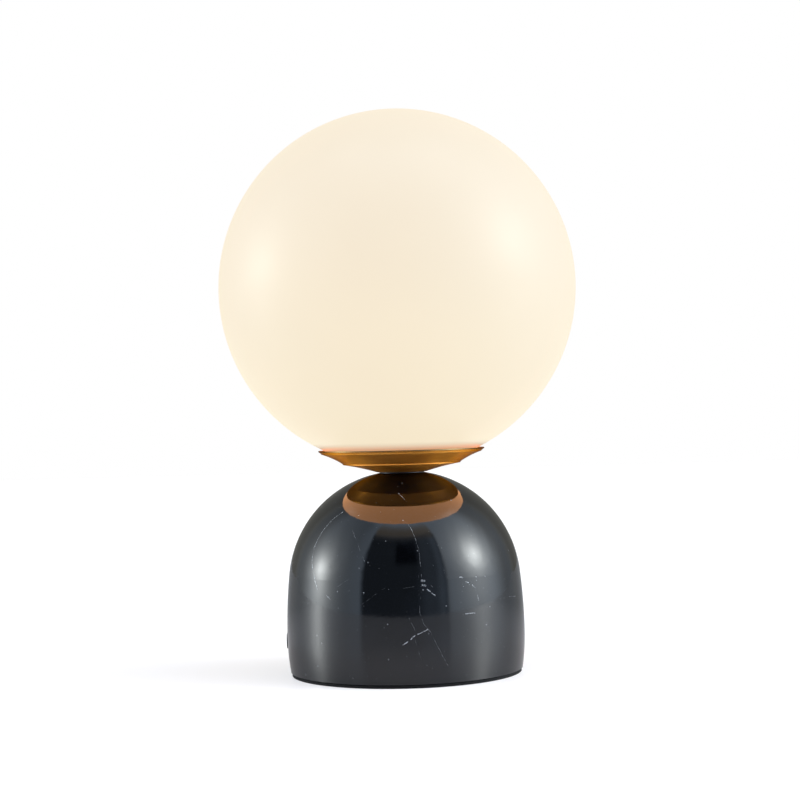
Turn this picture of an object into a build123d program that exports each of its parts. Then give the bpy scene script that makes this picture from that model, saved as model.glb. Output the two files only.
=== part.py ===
from build123d import *
import math
import os

# Table lamp: an opal glass globe in a brass dish on a domed block of black marble.
# Millimetres, +Z up. The origin is the middle of the foot on the table. The outlet for a
# mains cord is low on the -X side, and the viewer stands on the -Y side.

# ---------------------------------------------------------------- driving dimensions
TOTAL_HEIGHT = 315.0
GLOBE_R = 100.0
GLOBE_WALL = 3.0
GLOBE_Z = TOTAL_HEIGHT - GLOBE_R        # centre of the globe
MOUTH_R = 31.9                          # clear radius of the globe's mouth
LIP_OUT_R = 33.4                        # where the rounded lip meets the outer sphere
LIP_IN_R = 33.0                         # and where it meets the inner sphere

BASE_R = 66.5                           # widest radius of the marble
BASE_FOOT_R = 64.8                      # radius of its lower edge
BASE_WIDEST_Z = 22.0
BASE_TOP_Z = 111.6
WALL_ARC_R = 310.0                      # upper wall, leaning in
WALL_LEAN_DEG = 6.4
DOME_ARC_R = 63.0
EDGE_CHAMFER = 0.5

PAD_R = 64.2
PAD_T = 1.5

RECESS_R = 44.0                         # hollow under the marble
RECESS_TOP_Z = 30.0
TUBE_R = 5.0                            # lamp tube, 10 mm thread
TUBE_BORE_R = 4.0
TUBE_LOW_Z = 18.5
TUBE_TOP_Z = 123.5
TUBE_HOLE_R = 5.5                       # drilled through the marble
TUBE_CLEAR_R = 5.1                      # holes of the thin pieces on the tube
TUBE_CHAMFER = 0.4

CORD_Z = 19.0                           # height of the cord outlet
CORD_R = 3.0
BUSH_BORE_R = 3.25
BUSH_SLEEVE_R = 3.9
BUSH_FLANGE_R = 4.4
BUSH_PROUD = 0.3                        # how far the flange stands out of the marble
BUSH_FLANGE_SUNK = 1.5
BUSH_SLEEVE_L = 17.0
BUSH_ROUNDING = 0.25

RUBBER_T = 1.5
RUBBER_R = 20.0
PLATE_T = 1.5
PLATE_R = 41.0
SPRING_WASHER_T = 2.0
SPRING_WASHER_R = 9.0
SPRING_GAP = 1.0                        # cut through the ring, on the slant
SPRING_SLANT_DEG = 20.0
NUT_ACROSS_FLATS = 17.0
NUT_T = 5.0

COLLAR_R = 12.5
COLLAR_T = 0.5

DISH_RIM_R = 46.6
DISH_RIM_Z = 124.8                      # top of the rim
DISH_RIM_ROUNDING = 0.2                 # of its outer top edge
DISH_LIP_H = 0.4                        # straight upright lip below that rounding
DISH_RIM_LOW = (45.0, 122.8)            # radius and height where the rim's face ends
DISH_RIM_SAG = 0.15                     # how far that face bulges
DISH_BAND_LOW = (33.2, 117.15)          # lower end of the upper band
DISH_BAND_SAG = 0.45                    # how far the band bulges between its ends
DISH_STEP_LOW = (33.0, 116.6)           # narrow facet between band and lower bowl
DISH_BOWL_SAG = 0.35
DISH_FLAT_R = 14.0
DISH_T = 1.7                            # floor under the clip plate
DISH_INNER_LOW = (31.0, 118.0)          # inner cone, radius and height
DISH_INNER_HIGH = (45.3, 124.0)
DISH_FLOOR_R = 17.5
SEAT_IN_R = 37.5
SEAT_OUT_R = 41.5
SEAT_GAP = 0.15                         # between the silicone and the glass

CLIP_PLATE_R = 17.0
CLIP_PLATE_T = 1.2
CLIP_WIDTH = 8.0
CLIP_T = 0.5
CLIP_ANGLES = (30.0, 150.0, 270.0)
CLIP_RIVET_R = 1.5
CLIP_RIVET_AT = 14.0
CLIP_RIVET_HEAD = (2.6, 0.8)            # radius and height
CLIP_HEEL_R = 10.0                      # inner end of a leaf spring
CLIP_BEND_R = 20.0                      # where it leaves the plate
CLIP_SHOULDER = (29.6, 119.5)           # radius and height, below the mouth
CLIP_TOUCH = (31.1, 123.0)              # closest to the glass
CLIP_TIP = (28.6, 128.5)
DISH_NUT_AF = 16.0
DISH_NUT_T = 3.0

HOLDER_R = 20.0
HOLDER_WALL = 2.0
HOLDER_BOSS_R = 8.5
HOLDER_CAP_Z = 118.6                    # underside of the boss
HOLDER_BOSS_H = 5.0
HOLDER_FLARE = (3.0, 12.0)              # start and end of the flare above the underside
HOLDER_RINGS = 3                        # raised rings round the sleeve
HOLDER_RING_PITCH = 6.0
HOLDER_RING_SIZE = (0.8, 2.0)           # depth and height
LOCK_SCREW_R = 1.2
LOCK_SCREW_UP = 1.6                     # above the boss's underside
HOLDER_JOINT_Z = 139.0                  # cap meets body
HOLDER_MOUTH_Z = 171.0
INSERT_R = HOLDER_R - HOLDER_WALL       # fills the sleeve
LEDGE_R = 16.0                          # ledge in the cap that carries the insert
INSERT_Z = 137.0
INSERT_T = 7.0
INSERT_FLOOR_T = 3.5                    # under the pocket of the centre contact
INSERT_POCKET_R = 8.0
STUD_R = 1.2
POST_AT = 7.0
CONTACT_RIVET_R = 2.0
POST_SIZE = (6.0, 5.0, 6.0)
POST_SCREW_R = 1.0
POST_SCREW_UP = 2.0                     # above the post's underside

THREAD_PITCH = 3.63                     # screw cap of the bulb
THREAD_TURNS = 5
THREAD_DEPTH = 0.9
BULB_THREAD_R = 12.75                   # middle of the wave
THREAD_GAP = 0.35                       # between bulb cap and screw shell
SHELL_T = 0.4
SHELL_FLANGE_R = 9.0                    # inner radius of the screw shell's flange
LEAF_T = 0.4
TIP_Z = 147.0                           # lowest point of the bulb
TIP_R = 4.6
TIP_T = 1.0
CAP_CURL_R = 10.5                       # lower edge of the cap, curled in on the insulator
CAP_CURL = (0.8, 0.3)                   # its outer and inner drop
BULB_CAP_LOW_Z = 151.5
BULB_CAP_TOP_Z = 173.5
BULB_R = 30.0
BULB_NECK_R = 14.0
BULB_NECK_H = 4.0
BULB_WAIST = (22.5, 190.0)              # radius and height half way up the housing
BULB_JOINT_Z = 208.0                    # housing meets diffuser
BULB_TOP_Z = 255.0
BULB_WALL = 1.5
BULB_INSET = 0.6                        # housing set in from the diffuser
LED_BOARD_T = 1.6
LED_COUNT = 12
LED_RING_R = 18.0
LED_SIZE = (3.0, 3.0, 0.8)

LEAD_R = 1.1
LEAD_AT = 1.6                           # two leads side by side in the tube
LEAD_LOW_Z = 9.0
LEAD_END_Z = 134.0                      # blind end of the hole in a holder post
BLOCK_SIZE = (18.0, 24.0, 11.0)
BLOCK_Y = 26.0
BLOCK_PITCH = 8.0
BLOCK_TUBE_R = 2.3
BLOCK_TUBE_BORE_R = 1.4
BLOCK_SCREW_R = 1.5
BLOCK_SCREW_AT = 5.0
TURRET_R = 3.0                          # collar of the block round each screw
TURRET_H = 2.0
SCREW_R = 1.5                           # small machine screws
SCREW_HEAD_R = 2.8
SCREW_HEAD_T = 2.0
SCREW_SLOT = 0.8                        # width and depth
SCREW_NOTCH_R = 3.0                     # room for a screw's tip in the rubber
CLAMP_X = -28.0
CLAMP_SIZE = (12.0, 22.0)
CLAMP_BAR_T = 3.0
CLAMP_BAR_W = 8.0
CLAMP_ROUNDING = 2.0
CLAMP_GROOVE = 1.0                      # depth of the block's groove for the cord
CLAMP_SCREW_Y = 7.5
EARTH_AT = (27.0, -4.0)
TAG_R = 3.4
TAG_T = 0.8
FERRULE_R = 2.0
FERRULE_L = 5.0
FERRULE_AT = 6.0                        # from the earth screw to the ferrule

# ---------------------------------------------------------------- worked-out heights
PLATE_LOW_Z = RECESS_TOP_Z - RUBBER_T - PLATE_T
PLATE_TOP_Z = RECESS_TOP_Z - RUBBER_T
NUT_TOP_Z = PLATE_LOW_Z - SPRING_WASHER_T
DISH_LOW_Z = BASE_TOP_Z + COLLAR_T
DISH_FLOOR_Z = DISH_LOW_Z + DISH_T
CLIP_PLATE_TOP_Z = DISH_FLOOR_Z + CLIP_PLATE_T
SCREW_TIP_Z = PLATE_TOP_Z + 1.0
BLOCK_LOW_Z = PLATE_LOW_Z - BLOCK_SIZE[2]
BLOCK_BODY_Z = BLOCK_LOW_Z + TURRET_H
BLOCK_TUBE_Z = PLATE_LOW_Z - BLOCK_SIZE[2] / 2
BLOCK_SCREW_Y = BLOCK_Y - BLOCK_PITCH / 2
CLAMP_BAR_Z = CORD_Z - CORD_R - CLAMP_BAR_T
LOCK_SCREW_Z = HOLDER_CAP_Z + LOCK_SCREW_UP
INSERT_FLOOR_Z = INSERT_Z + INSERT_FLOOR_T
INSERT_TOP_Z = INSERT_Z + INSERT_T
THREAD_TOP_Z = BULB_CAP_LOW_Z + THREAD_TURNS * THREAD_PITCH
LOWEST = (Align.CENTER, Align.CENTER, Align.MIN)
PARTS = {}


# ---------------------------------------------------------------- helpers
def turned(*edges):
    """Solid of revolution about the lamp's axis. The edges close a (radius, height) outline."""
    return revolve(Plane.XZ * make_face(list(edges)), Axis.Z)


def turned_points(*points):
    return turned(Polyline(*points, close=True))


def disc(radius, low, high, hole=0.0):
    body = Pos(0, 0, low) * Cylinder(radius, high - low, align=LOWEST)
    if hole:
        body -= Pos(0, 0, low) * Cylinder(hole, high - low, align=LOWEST)
    return body


def rod(x, y, low, high, radius):
    return Pos(x, y, 0) * disc(radius, low, high)


def rod_along_x(low, high, y, z, radius):
    return Pos(low, y, z) * Rot(0, 90, 0) * Cylinder(radius, high - low, align=LOWEST)


def block(x, y, low, size):
    return Pos(x, y, low) * Box(*size, align=LOWEST)


def sphere_z(radius, at):
    """Height of the globe's lower side at a distance from the axis."""
    return GLOBE_Z - math.sqrt(radius**2 - at**2)


def hex_nut(across_flats, low, thickness):
    """Hexagon nut with its corners chamfered on both faces, plain bore on the tube's thread."""
    corner = across_flats / math.sqrt(3)
    prism = Pos(0, 0, low) * extrude(RegularPolygon(corner, 6), thickness)
    bevel = corner - across_flats / 2
    top = low + thickness
    lens = turned_points(
        (0, low), (across_flats / 2, low), (corner + bevel, low + bevel), (corner + bevel, top - bevel),
        (across_flats / 2, top), (0, top),
    )
    return (prism & lens) - disc(TUBE_R, low, top)


def lead(points):
    """Insulated lead along straight runs that are joined by arcs as large as the runs allow."""
    corners = []
    for before, at, after in zip(points, points[1:], points[2:]):
        first, second = Vector(*at) - Vector(*before), Vector(*after) - Vector(*at)
        half_turn = math.radians(first.get_angle(second)) / 2
        corners.append(0.45 * min(first.length, second.length) / math.tan(half_turn))
    path = FilletPolyline(*points, radius=corners)
    solid = sweep(Plane(origin=path @ 0, z_dir=path % 0) * Circle(LEAD_R), path=path)
    print("lead radii", [round(c, 1) for c in corners], "length", round(path.length, 1),
          "volume over section times length", round(solid.volume / (math.pi * LEAD_R**2 * path.length), 4))
    return solid


def strip_along(centre_line, thickness, width):
    """Bent sheet metal: a centre line in (x, z), given a thickness, and a width across y."""
    outline = offset(centre_line, thickness / 2, kind=Kind.INTERSECTION, side=Side.BOTH)
    return extrude(Plane.XZ * make_face(outline.edges()), width / 2, both=True)


def pan_screw(x, y, head_low, tip_z):
    """Slotted screw put in from below, its head at the bottom."""
    head_top = head_low + SCREW_HEAD_T
    screw = rod(x, y, head_top, tip_z, SCREW_R) + rod(x, y, head_low, head_top, SCREW_HEAD_R)
    return screw - block(x, y, head_low, (2 * SCREW_HEAD_R, SCREW_SLOT, SCREW_SLOT))


# ---------------------------------------------------------------- marble, pad and bush
def marble_outline():
    """Lower arc, upper wall arc and dome arc. Each one starts in the last one's direction."""
    foot = (BASE_FOOT_R, PAD_T)
    widest = (BASE_R, BASE_WIDEST_Z)
    low_wall = TangentArc(widest, foot, tangent=(0, -1))
    wall = JernArc(widest, (0, 1), WALL_ARC_R, WALL_LEAN_DEG)
    dome = JernArc(wall @ 1, wall % 1, DOME_ARC_R, 90 - WALL_LEAN_DEG)
    return low_wall, wall, dome


def marble_block():
    low_wall, wall, dome = marble_outline()
    top = dome @ 1
    raw = turned(
        low_wall, wall, dome,
        Line(top, (0, top.Y)), Line((0, top.Y), (0, PAD_T)), Line((0, PAD_T), (BASE_FOOT_R, PAD_T)),
    )
    flat = raw & disc(2 * BASE_R, 0, BASE_TOP_Z)
    return chamfer(flat.edges().sort_by(Axis.Z)[0], EDGE_CHAMFER)


def marble_base():
    stone = marble_block() - disc(RECESS_R, 0, RECESS_TOP_Z) - disc(TUBE_HOLE_R, 0, BASE_TOP_Z)
    stone -= rod_along_x(-2 * BASE_R, CLAMP_X, 0, CORD_Z, BUSH_SLEEVE_R)
    return stone - rod_along_x(-2 * BASE_R, -BASE_R + BUSH_FLANGE_SUNK, 0, CORD_Z, BUSH_FLANGE_R)


def cord_bush():
    face = -BASE_R - BUSH_PROUD
    shoulder = -BASE_R + BUSH_FLANGE_SUNK
    bush = rod_along_x(face, shoulder, 0, CORD_Z, BUSH_FLANGE_R)
    bush = fillet(bush.edges().filter_by(GeomType.CIRCLE).sort_by(Axis.X)[0], BUSH_ROUNDING)
    bush += rod_along_x(shoulder, shoulder + BUSH_SLEEVE_L, 0, CORD_Z, BUSH_SLEEVE_R)
    return bush - rod_along_x(face - 1, shoulder + BUSH_SLEEVE_L + 1, 0, CORD_Z, BUSH_BORE_R)


PARTS["foot_pad"] = disc(PAD_R, 0, PAD_T)
PARTS["marble_base"] = marble_base()
PARTS["cord_bush"] = cord_bush()


# ---------------------------------------------------------------- tube and its clamping
def spring_washer():
    """Split ring, its gap cut on the slant."""
    ring = disc(SPRING_WASHER_R, NUT_TOP_Z, PLATE_LOW_Z, TUBE_CLEAR_R)
    middle = (NUT_TOP_Z + PLATE_LOW_Z) / 2
    cutter = Box(SPRING_GAP, SPRING_WASHER_R, SPRING_WASHER_R)
    return ring - Pos(0, -SPRING_WASHER_R, middle) * Rot(0, SPRING_SLANT_DEG, 0) * cutter


def screw_places():
    """Every small screw of the recess plate, as (x, y)."""
    return [(CLAMP_X, -CLAMP_SCREW_Y), (CLAMP_X, CLAMP_SCREW_Y), (0, BLOCK_SCREW_Y), EARTH_AT]


def recess_plate():
    plate = disc(PLATE_R, PLATE_LOW_Z, PLATE_TOP_Z, TUBE_CLEAR_R)
    for x, y in screw_places():
        plate -= rod(x, y, PLATE_LOW_Z, PLATE_TOP_Z, SCREW_R)
    return plate


def rubber_washer():
    washer = disc(RUBBER_R, PLATE_TOP_Z, RECESS_TOP_Z, TUBE_CLEAR_R)
    return washer - rod(0, BLOCK_SCREW_Y, PLATE_TOP_Z, RECESS_TOP_Z, SCREW_NOTCH_R)


def lamp_tube():
    tube = disc(TUBE_R, TUBE_LOW_Z, TUBE_TOP_Z)
    tube = chamfer(tube.edges().filter_by(GeomType.CIRCLE), TUBE_CHAMFER)
    return tube - disc(TUBE_BORE_R, TUBE_LOW_Z, TUBE_TOP_Z)


PARTS["lamp_tube"] = lamp_tube()
PARTS["rubber_washer"] = rubber_washer()
PARTS["recess_plate"] = recess_plate()
PARTS["spring_washer"] = spring_washer()
PARTS["clamp_nut"] = hex_nut(NUT_ACROSS_FLATS, NUT_TOP_Z - NUT_T, NUT_T)
PARTS["neck_collar"] = disc(COLLAR_R, BASE_TOP_Z, DISH_LOW_Z, TUBE_CLEAR_R)


# ---------------------------------------------------------------- cord clamp, terminals, earth
def cord_clamp_block():
    low = CORD_Z + CORD_R
    body = block(CLAMP_X, 0, low, (*CLAMP_SIZE, PLATE_LOW_Z - low))
    body = fillet(body.edges().filter_by(Axis.Z), CLAMP_ROUNDING)
    body -= rod_along_x(CLAMP_X - CLAMP_SIZE[0], CLAMP_X + CLAMP_SIZE[0], 0, CORD_Z + CLAMP_GROOVE, CORD_R)
    for y in (-CLAMP_SCREW_Y, CLAMP_SCREW_Y):
        body -= rod(CLAMP_X, y, low, PLATE_LOW_Z, SCREW_R)
    return body


def cord_clamp_bar():
    bar = block(CLAMP_X, 0, CLAMP_BAR_Z, (CLAMP_BAR_W, CLAMP_SIZE[1], CLAMP_BAR_T))
    bar = fillet(bar.edges().filter_by(Axis.Z), CLAMP_ROUNDING)
    for y in (-CLAMP_SCREW_Y, CLAMP_SCREW_Y):
        bar -= rod(CLAMP_X, y, CLAMP_BAR_Z, CLAMP_BAR_Z + CLAMP_BAR_T, SCREW_R)
    return bar


def cord_clamp_screws():
    head_low = CLAMP_BAR_Z - SCREW_HEAD_T
    return [pan_screw(CLAMP_X, y, head_low, SCREW_TIP_Z) for y in (-CLAMP_SCREW_Y, CLAMP_SCREW_Y)]


def pole_places():
    return [BLOCK_Y + k * BLOCK_PITCH for k in (-1, 0, 1)]


def terminal_screw_places():
    return [(x, y) for y in pole_places() for x in (-BLOCK_SCREW_AT, BLOCK_SCREW_AT)]


def terminal_block():
    """Three poles in one moulding, with a turret over each screw."""
    length, width, height = BLOCK_SIZE
    screw_hole_r = BLOCK_SCREW_R + 0.2
    body = block(0, BLOCK_Y, BLOCK_BODY_Z, (length, width, height - TURRET_H))
    for x, y in terminal_screw_places():
        body += rod(x, y, BLOCK_LOW_Z, BLOCK_BODY_Z, TURRET_R)
    for x, y in terminal_screw_places():
        body -= rod(x, y, BLOCK_LOW_Z, BLOCK_TUBE_Z, screw_hole_r)
    for y in pole_places():
        body -= rod_along_x(-length, length, y, BLOCK_TUBE_Z, BLOCK_TUBE_R)
    return body - rod(0, BLOCK_SCREW_Y, BLOCK_BODY_Z, PLATE_LOW_Z, SCREW_R)


def terminal_tubes():
    """One brass tube a pole, a little shorter than the moulding, tapped for two screws."""
    tubes = []
    reach = BLOCK_SIZE[0] / 2 - 1.0
    for y in pole_places():
        tube = rod_along_x(-reach, reach, y, BLOCK_TUBE_Z, BLOCK_TUBE_R)
        tube -= rod_along_x(-reach, reach, y, BLOCK_TUBE_Z, BLOCK_TUBE_BORE_R)
        for x in (-BLOCK_SCREW_AT, BLOCK_SCREW_AT):
            tube -= rod(x, y, BLOCK_LOW_Z, BLOCK_TUBE_Z, BLOCK_SCREW_R)
        tubes.append(tube)
    return Compound(children=tubes)


def terminal_screws():
    """Grub screws sunk in the turrets, with their tips close to the leads."""
    sunk, tip_gap, slot_w, slot_d = 0.4, 0.05, 0.6, 0.7
    low = BLOCK_LOW_Z + sunk
    screws = []
    for x, y in terminal_screw_places():
        screw = rod(x, y, low, BLOCK_TUBE_Z - LEAD_R - tip_gap, BLOCK_SCREW_R)
        screws.append(screw - block(x, y, low, (2 * BLOCK_SCREW_R, slot_w, slot_d)))
    return Compound(children=screws)


def earth_tag():
    """Ring tag under the earth screw, with a ferrule for the lead."""
    x, y = EARTH_AT
    low = PLATE_LOW_Z - TAG_T
    neck = block(x, y + 0.75 * FERRULE_AT, low, (2 * SCREW_R, FERRULE_L, TAG_T))
    along_y = Pos(x, y + FERRULE_AT, low - FERRULE_R + TAG_T / 2) * Rot(-90, 0, 0)
    tag = rod(x, y, low, PLATE_LOW_Z, TAG_R) + neck
    tag += along_y * Cylinder(FERRULE_R, FERRULE_L, align=LOWEST)
    tag -= along_y * Cylinder(LEAD_R, FERRULE_L, align=LOWEST)
    return tag - rod(x, y, low, PLATE_LOW_Z, SCREW_R)


PARTS["cord_clamp_block"] = cord_clamp_block()
PARTS["cord_clamp_bar"] = cord_clamp_bar()
PARTS["cord_clamp_screws"] = Compound(children=cord_clamp_screws())
PARTS["terminal_block"] = terminal_block()
PARTS["terminal_tubes"] = terminal_tubes()
PARTS["terminal_screws"] = terminal_screws()
PARTS["terminal_block_screw"] = pan_screw(0, BLOCK_SCREW_Y, BLOCK_BODY_Z - SCREW_HEAD_T, SCREW_TIP_Z)
PARTS["earth_tag"] = earth_tag()
PARTS["earth_screw"] = pan_screw(*EARTH_AT, PLATE_LOW_Z - TAG_T - SCREW_HEAD_T, SCREW_TIP_Z)


# ---------------------------------------------------------------- inner leads
def holder_lead(side, pole_y):
    """From a terminal, down under the tube, up through it and out to a post of the holder."""
    x = side * LEAD_AT
    return lead([
        (BLOCK_SIZE[0] / 2 - 4, pole_y, BLOCK_TUBE_Z),
        (19, pole_y, BLOCK_TUBE_Z - 1),
        (20, pole_y - 8, LEAD_LOW_Z + 2),
        (x + 4, 3 * side, LEAD_LOW_Z),
        (x, 0, TUBE_LOW_Z + 2),
        (x, 0, TUBE_TOP_Z + 1),
        (side * POST_AT, 0, 128.6),
        (side * POST_AT, 0, LEAD_END_Z),
    ])


def earth_lead():
    x, y = EARTH_AT
    start = pole_places()[2]
    return lead([
        (BLOCK_SIZE[0] / 2 - 4, start, BLOCK_TUBE_Z),
        (16, start - 0.5, BLOCK_TUBE_Z),
        (26, 24, BLOCK_TUBE_Z + 1),
        (x, y + 14, PLATE_LOW_Z - 2.4),
        (x, y + 8, PLATE_LOW_Z - 2.4),
    ])


PARTS["live_lead"] = holder_lead(1, pole_places()[1])
PARTS["neutral_lead"] = holder_lead(-1, pole_places()[0])
PARTS["earth_lead"] = earth_lead()


# ---------------------------------------------------------------- dish and what holds the globe
def brass_dish():
    """Flared rim with an upright lip, convex upper band, narrow facet, shallower bowl, flat floor."""
    lip_high = (DISH_RIM_R, DISH_RIM_Z - DISH_RIM_ROUNDING)
    lip_low = (DISH_RIM_R, DISH_RIM_Z - DISH_RIM_ROUNDING - DISH_LIP_H)
    rim_top = (DISH_RIM_R - DISH_RIM_ROUNDING, DISH_RIM_Z)
    inset = DISH_RIM_ROUNDING * (1 - math.sqrt(0.5))
    rim_edge = (DISH_RIM_R - inset, DISH_RIM_Z - inset)
    flat_out = (DISH_FLAT_R, DISH_LOW_Z)
    floor_out = (DISH_FLOOR_R, DISH_FLOOR_Z)
    return turned(
        Line((TUBE_CLEAR_R, DISH_LOW_Z), flat_out),
        SagittaArc(flat_out, DISH_STEP_LOW, DISH_BOWL_SAG),
        Line(DISH_STEP_LOW, DISH_BAND_LOW),
        SagittaArc(DISH_BAND_LOW, DISH_RIM_LOW, DISH_BAND_SAG),
        SagittaArc(DISH_RIM_LOW, lip_low, DISH_RIM_SAG),
        Line(lip_low, lip_high),
        ThreePointArc(lip_high, rim_edge, rim_top),
        Line(rim_top, DISH_INNER_HIGH),
        Line(DISH_INNER_HIGH, DISH_INNER_LOW),
        Line(DISH_INNER_LOW, floor_out),
        Line(floor_out, (TUBE_CLEAR_R, DISH_FLOOR_Z)),
        Line((TUBE_CLEAR_R, DISH_FLOOR_Z), (TUBE_CLEAR_R, DISH_LOW_Z)),
    )


def dish_inside_z(radius):
    (low_r, low_z), (high_r, high_z) = DISH_INNER_LOW, DISH_INNER_HIGH
    return low_z + (radius - low_r) * (high_z - low_z) / (high_r - low_r)


def seat_ring():
    """Soft ring that lies on the dish's inner cone and is hollowed to the globe's curve."""
    skin = GLOBE_R + SEAT_GAP
    middle = (SEAT_IN_R + SEAT_OUT_R) / 2
    low_in, low_out = (SEAT_IN_R, dish_inside_z(SEAT_IN_R)), (SEAT_OUT_R, dish_inside_z(SEAT_OUT_R))
    top_in, top_out = (SEAT_IN_R, sphere_z(skin, SEAT_IN_R)), (SEAT_OUT_R, sphere_z(skin, SEAT_OUT_R))
    return turned(
        Line(low_in, low_out), Line(low_out, top_out),
        ThreePointArc(top_out, (middle, sphere_z(skin, middle)), top_in), Line(top_in, low_in),
    )


def clip_arm():
    """Leaf spring: flat foot on the plate, a rise to the mouth of the globe, a tip bent inwards."""
    middle = CLIP_PLATE_TOP_Z + CLIP_T / 2
    centre_line = FilletPolyline(
        (CLIP_HEEL_R, middle), (CLIP_BEND_R, middle), CLIP_SHOULDER, CLIP_TOUCH, CLIP_TIP,
        radius=(3.0, 3.0, 2.0),
    )
    arm = strip_along(centre_line, CLIP_T, CLIP_WIDTH)
    return arm - rod(CLIP_RIVET_AT, 0, CLIP_PLATE_TOP_Z, CLIP_PLATE_TOP_Z + 2 * CLIP_T, CLIP_RIVET_R)


def clip_rivet():
    low, high = DISH_FLOOR_Z, CLIP_PLATE_TOP_Z + CLIP_T
    head_r, head_t = CLIP_RIVET_HEAD
    return rod(CLIP_RIVET_AT, 0, low, high, CLIP_RIVET_R) + rod(CLIP_RIVET_AT, 0, high, high + head_t, head_r)


def round_the_axis(piece):
    return Compound(children=[Rot(0, 0, angle) * piece for angle in CLIP_ANGLES])


def clip_plate():
    plate = disc(CLIP_PLATE_R, DISH_FLOOR_Z, CLIP_PLATE_TOP_Z, TUBE_CLEAR_R)
    hole = rod(CLIP_RIVET_AT, 0, DISH_FLOOR_Z, CLIP_PLATE_TOP_Z, CLIP_RIVET_R)
    for angle in CLIP_ANGLES:
        plate -= Rot(0, 0, angle) * hole
    return plate


PARTS["brass_dish"] = brass_dish()
PARTS["seat_ring"] = seat_ring()
PARTS["globe_clip_plate"] = clip_plate()
PARTS["globe_clips"] = round_the_axis(clip_arm())
PARTS["clip_rivets"] = round_the_axis(clip_rivet())
PARTS["dish_nut"] = hex_nut(DISH_NUT_AF, CLIP_PLATE_TOP_Z, DISH_NUT_T)


# ---------------------------------------------------------------- lampholder
def holder_cap():
    """Lower cup: a boss on the tube, a flare, and a straight skirt with a ledge for the insert."""
    boss_top = HOLDER_CAP_Z + HOLDER_BOSS_H
    flare_low, flare_high = (HOLDER_CAP_Z + up for up in HOLDER_FLARE)
    cup = turned_points(
        (0, HOLDER_CAP_Z), (HOLDER_BOSS_R, HOLDER_CAP_Z), (HOLDER_BOSS_R, flare_low),
        (HOLDER_R, flare_high), (HOLDER_R, HOLDER_JOINT_Z), (0, HOLDER_JOINT_Z),
    )
    hollow = turned_points(
        (0, boss_top), (HOLDER_BOSS_R - 1.0, boss_top), (LEDGE_R, flare_high + 1.0),
        (LEDGE_R, INSERT_Z), (INSERT_R, INSERT_Z), (INSERT_R, HOLDER_JOINT_Z), (0, HOLDER_JOINT_Z),
    )
    cup = cup - hollow - disc(TUBE_R, HOLDER_CAP_Z, boss_top)
    return cup - rod_along_x(0, HOLDER_BOSS_R, 0, LOCK_SCREW_Z, LOCK_SCREW_R)


def locking_screw():
    """Grub screw through the boss that stops the holder turning on the tube."""
    screw = rod_along_x(TUBE_R, HOLDER_BOSS_R, 0, LOCK_SCREW_Z, LOCK_SCREW_R)
    slot = Box(LOCK_SCREW_R, 0.5, 2 * LOCK_SCREW_R)
    return screw - Pos(HOLDER_BOSS_R, 0, LOCK_SCREW_Z) * slot


def holder_insert():
    """Ceramic body of the holder, open in the middle for the centre contact."""
    insert = disc(INSERT_R, INSERT_Z, INSERT_TOP_Z, CONTACT_RIVET_R)
    insert -= disc(INSERT_POCKET_R, INSERT_FLOOR_Z, INSERT_TOP_Z)
    for side in (-1, 1):
        insert -= rod(side * POST_AT, 0, INSERT_Z, INSERT_FLOOR_Z, STUD_R)
    return insert


def post_face(side):
    """Place of a post's screw: on the face towards -Y, its own z pointing into the post."""
    return Pos(side * POST_AT, -POST_SIZE[1] / 2, INSERT_Z - POST_SIZE[2] + POST_SCREW_UP) * Rot(-90, 0, 0)


def contact_post(side):
    x = side * POST_AT
    low = INSERT_Z - POST_SIZE[2]
    wall = POST_SIZE[1] / 2 - LEAD_R
    post = block(x, 0, low, POST_SIZE) + rod(x, 0, INSERT_Z, INSERT_FLOOR_Z, STUD_R)
    post -= rod(x, 0, low, LEAD_END_Z, LEAD_R)
    return post - post_face(side) * Cylinder(POST_SCREW_R, wall, align=LOWEST)


def post_screw(side):
    head_r, head_t, slot_w, tip_gap = 1.9, 1.2, 0.5, 0.05
    place = post_face(side)
    at_head = place * Pos(0, 0, -head_t)
    shank = place * Cylinder(POST_SCREW_R, POST_SIZE[1] / 2 - LEAD_R - tip_gap, align=LOWEST)
    head = at_head * Cylinder(head_r, head_t, align=LOWEST)
    return shank + head - at_head * Box(2 * head_r, slot_w, head_t)


def centre_contact():
    """Bent leaf under the bulb's tip: a foot on the live stud and a tongue that leans up."""
    foot_z, tongue_z = INSERT_FLOOR_Z + LEAF_T / 2, TIP_Z - 0.35
    outer_x, bend_x, lean, tongue_x = POST_AT + 0.6, -4.5, 1.0, 3.0
    centre_line = FilletPolyline(
        (outer_x, foot_z), (bend_x, foot_z), (bend_x - lean, tongue_z - 0.6), (tongue_x, tongue_z),
        radius=(0.8, 0.8),
    )
    leaf = strip_along(centre_line, LEAF_T, 2 * CONTACT_RIVET_R)
    return leaf + rod(0, 0, INSERT_Z, foot_z, CONTACT_RIVET_R)


def thread_wave(middle):
    """Rounded rings of one pitch each, as arcs that bulge out and in by turns."""
    half = THREAD_PITCH / 2
    arcs = []
    for k in range(2 * THREAD_TURNS):
        bulge = THREAD_DEPTH / 2 if k % 2 == 0 else -THREAD_DEPTH / 2
        low, high = BULB_CAP_LOW_Z + k * half, BULB_CAP_LOW_Z + (k + 1) * half
        arcs.append(ThreePointArc((middle, low), (middle + bulge, (low + high) / 2), (middle, high)))
    return arcs


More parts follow.
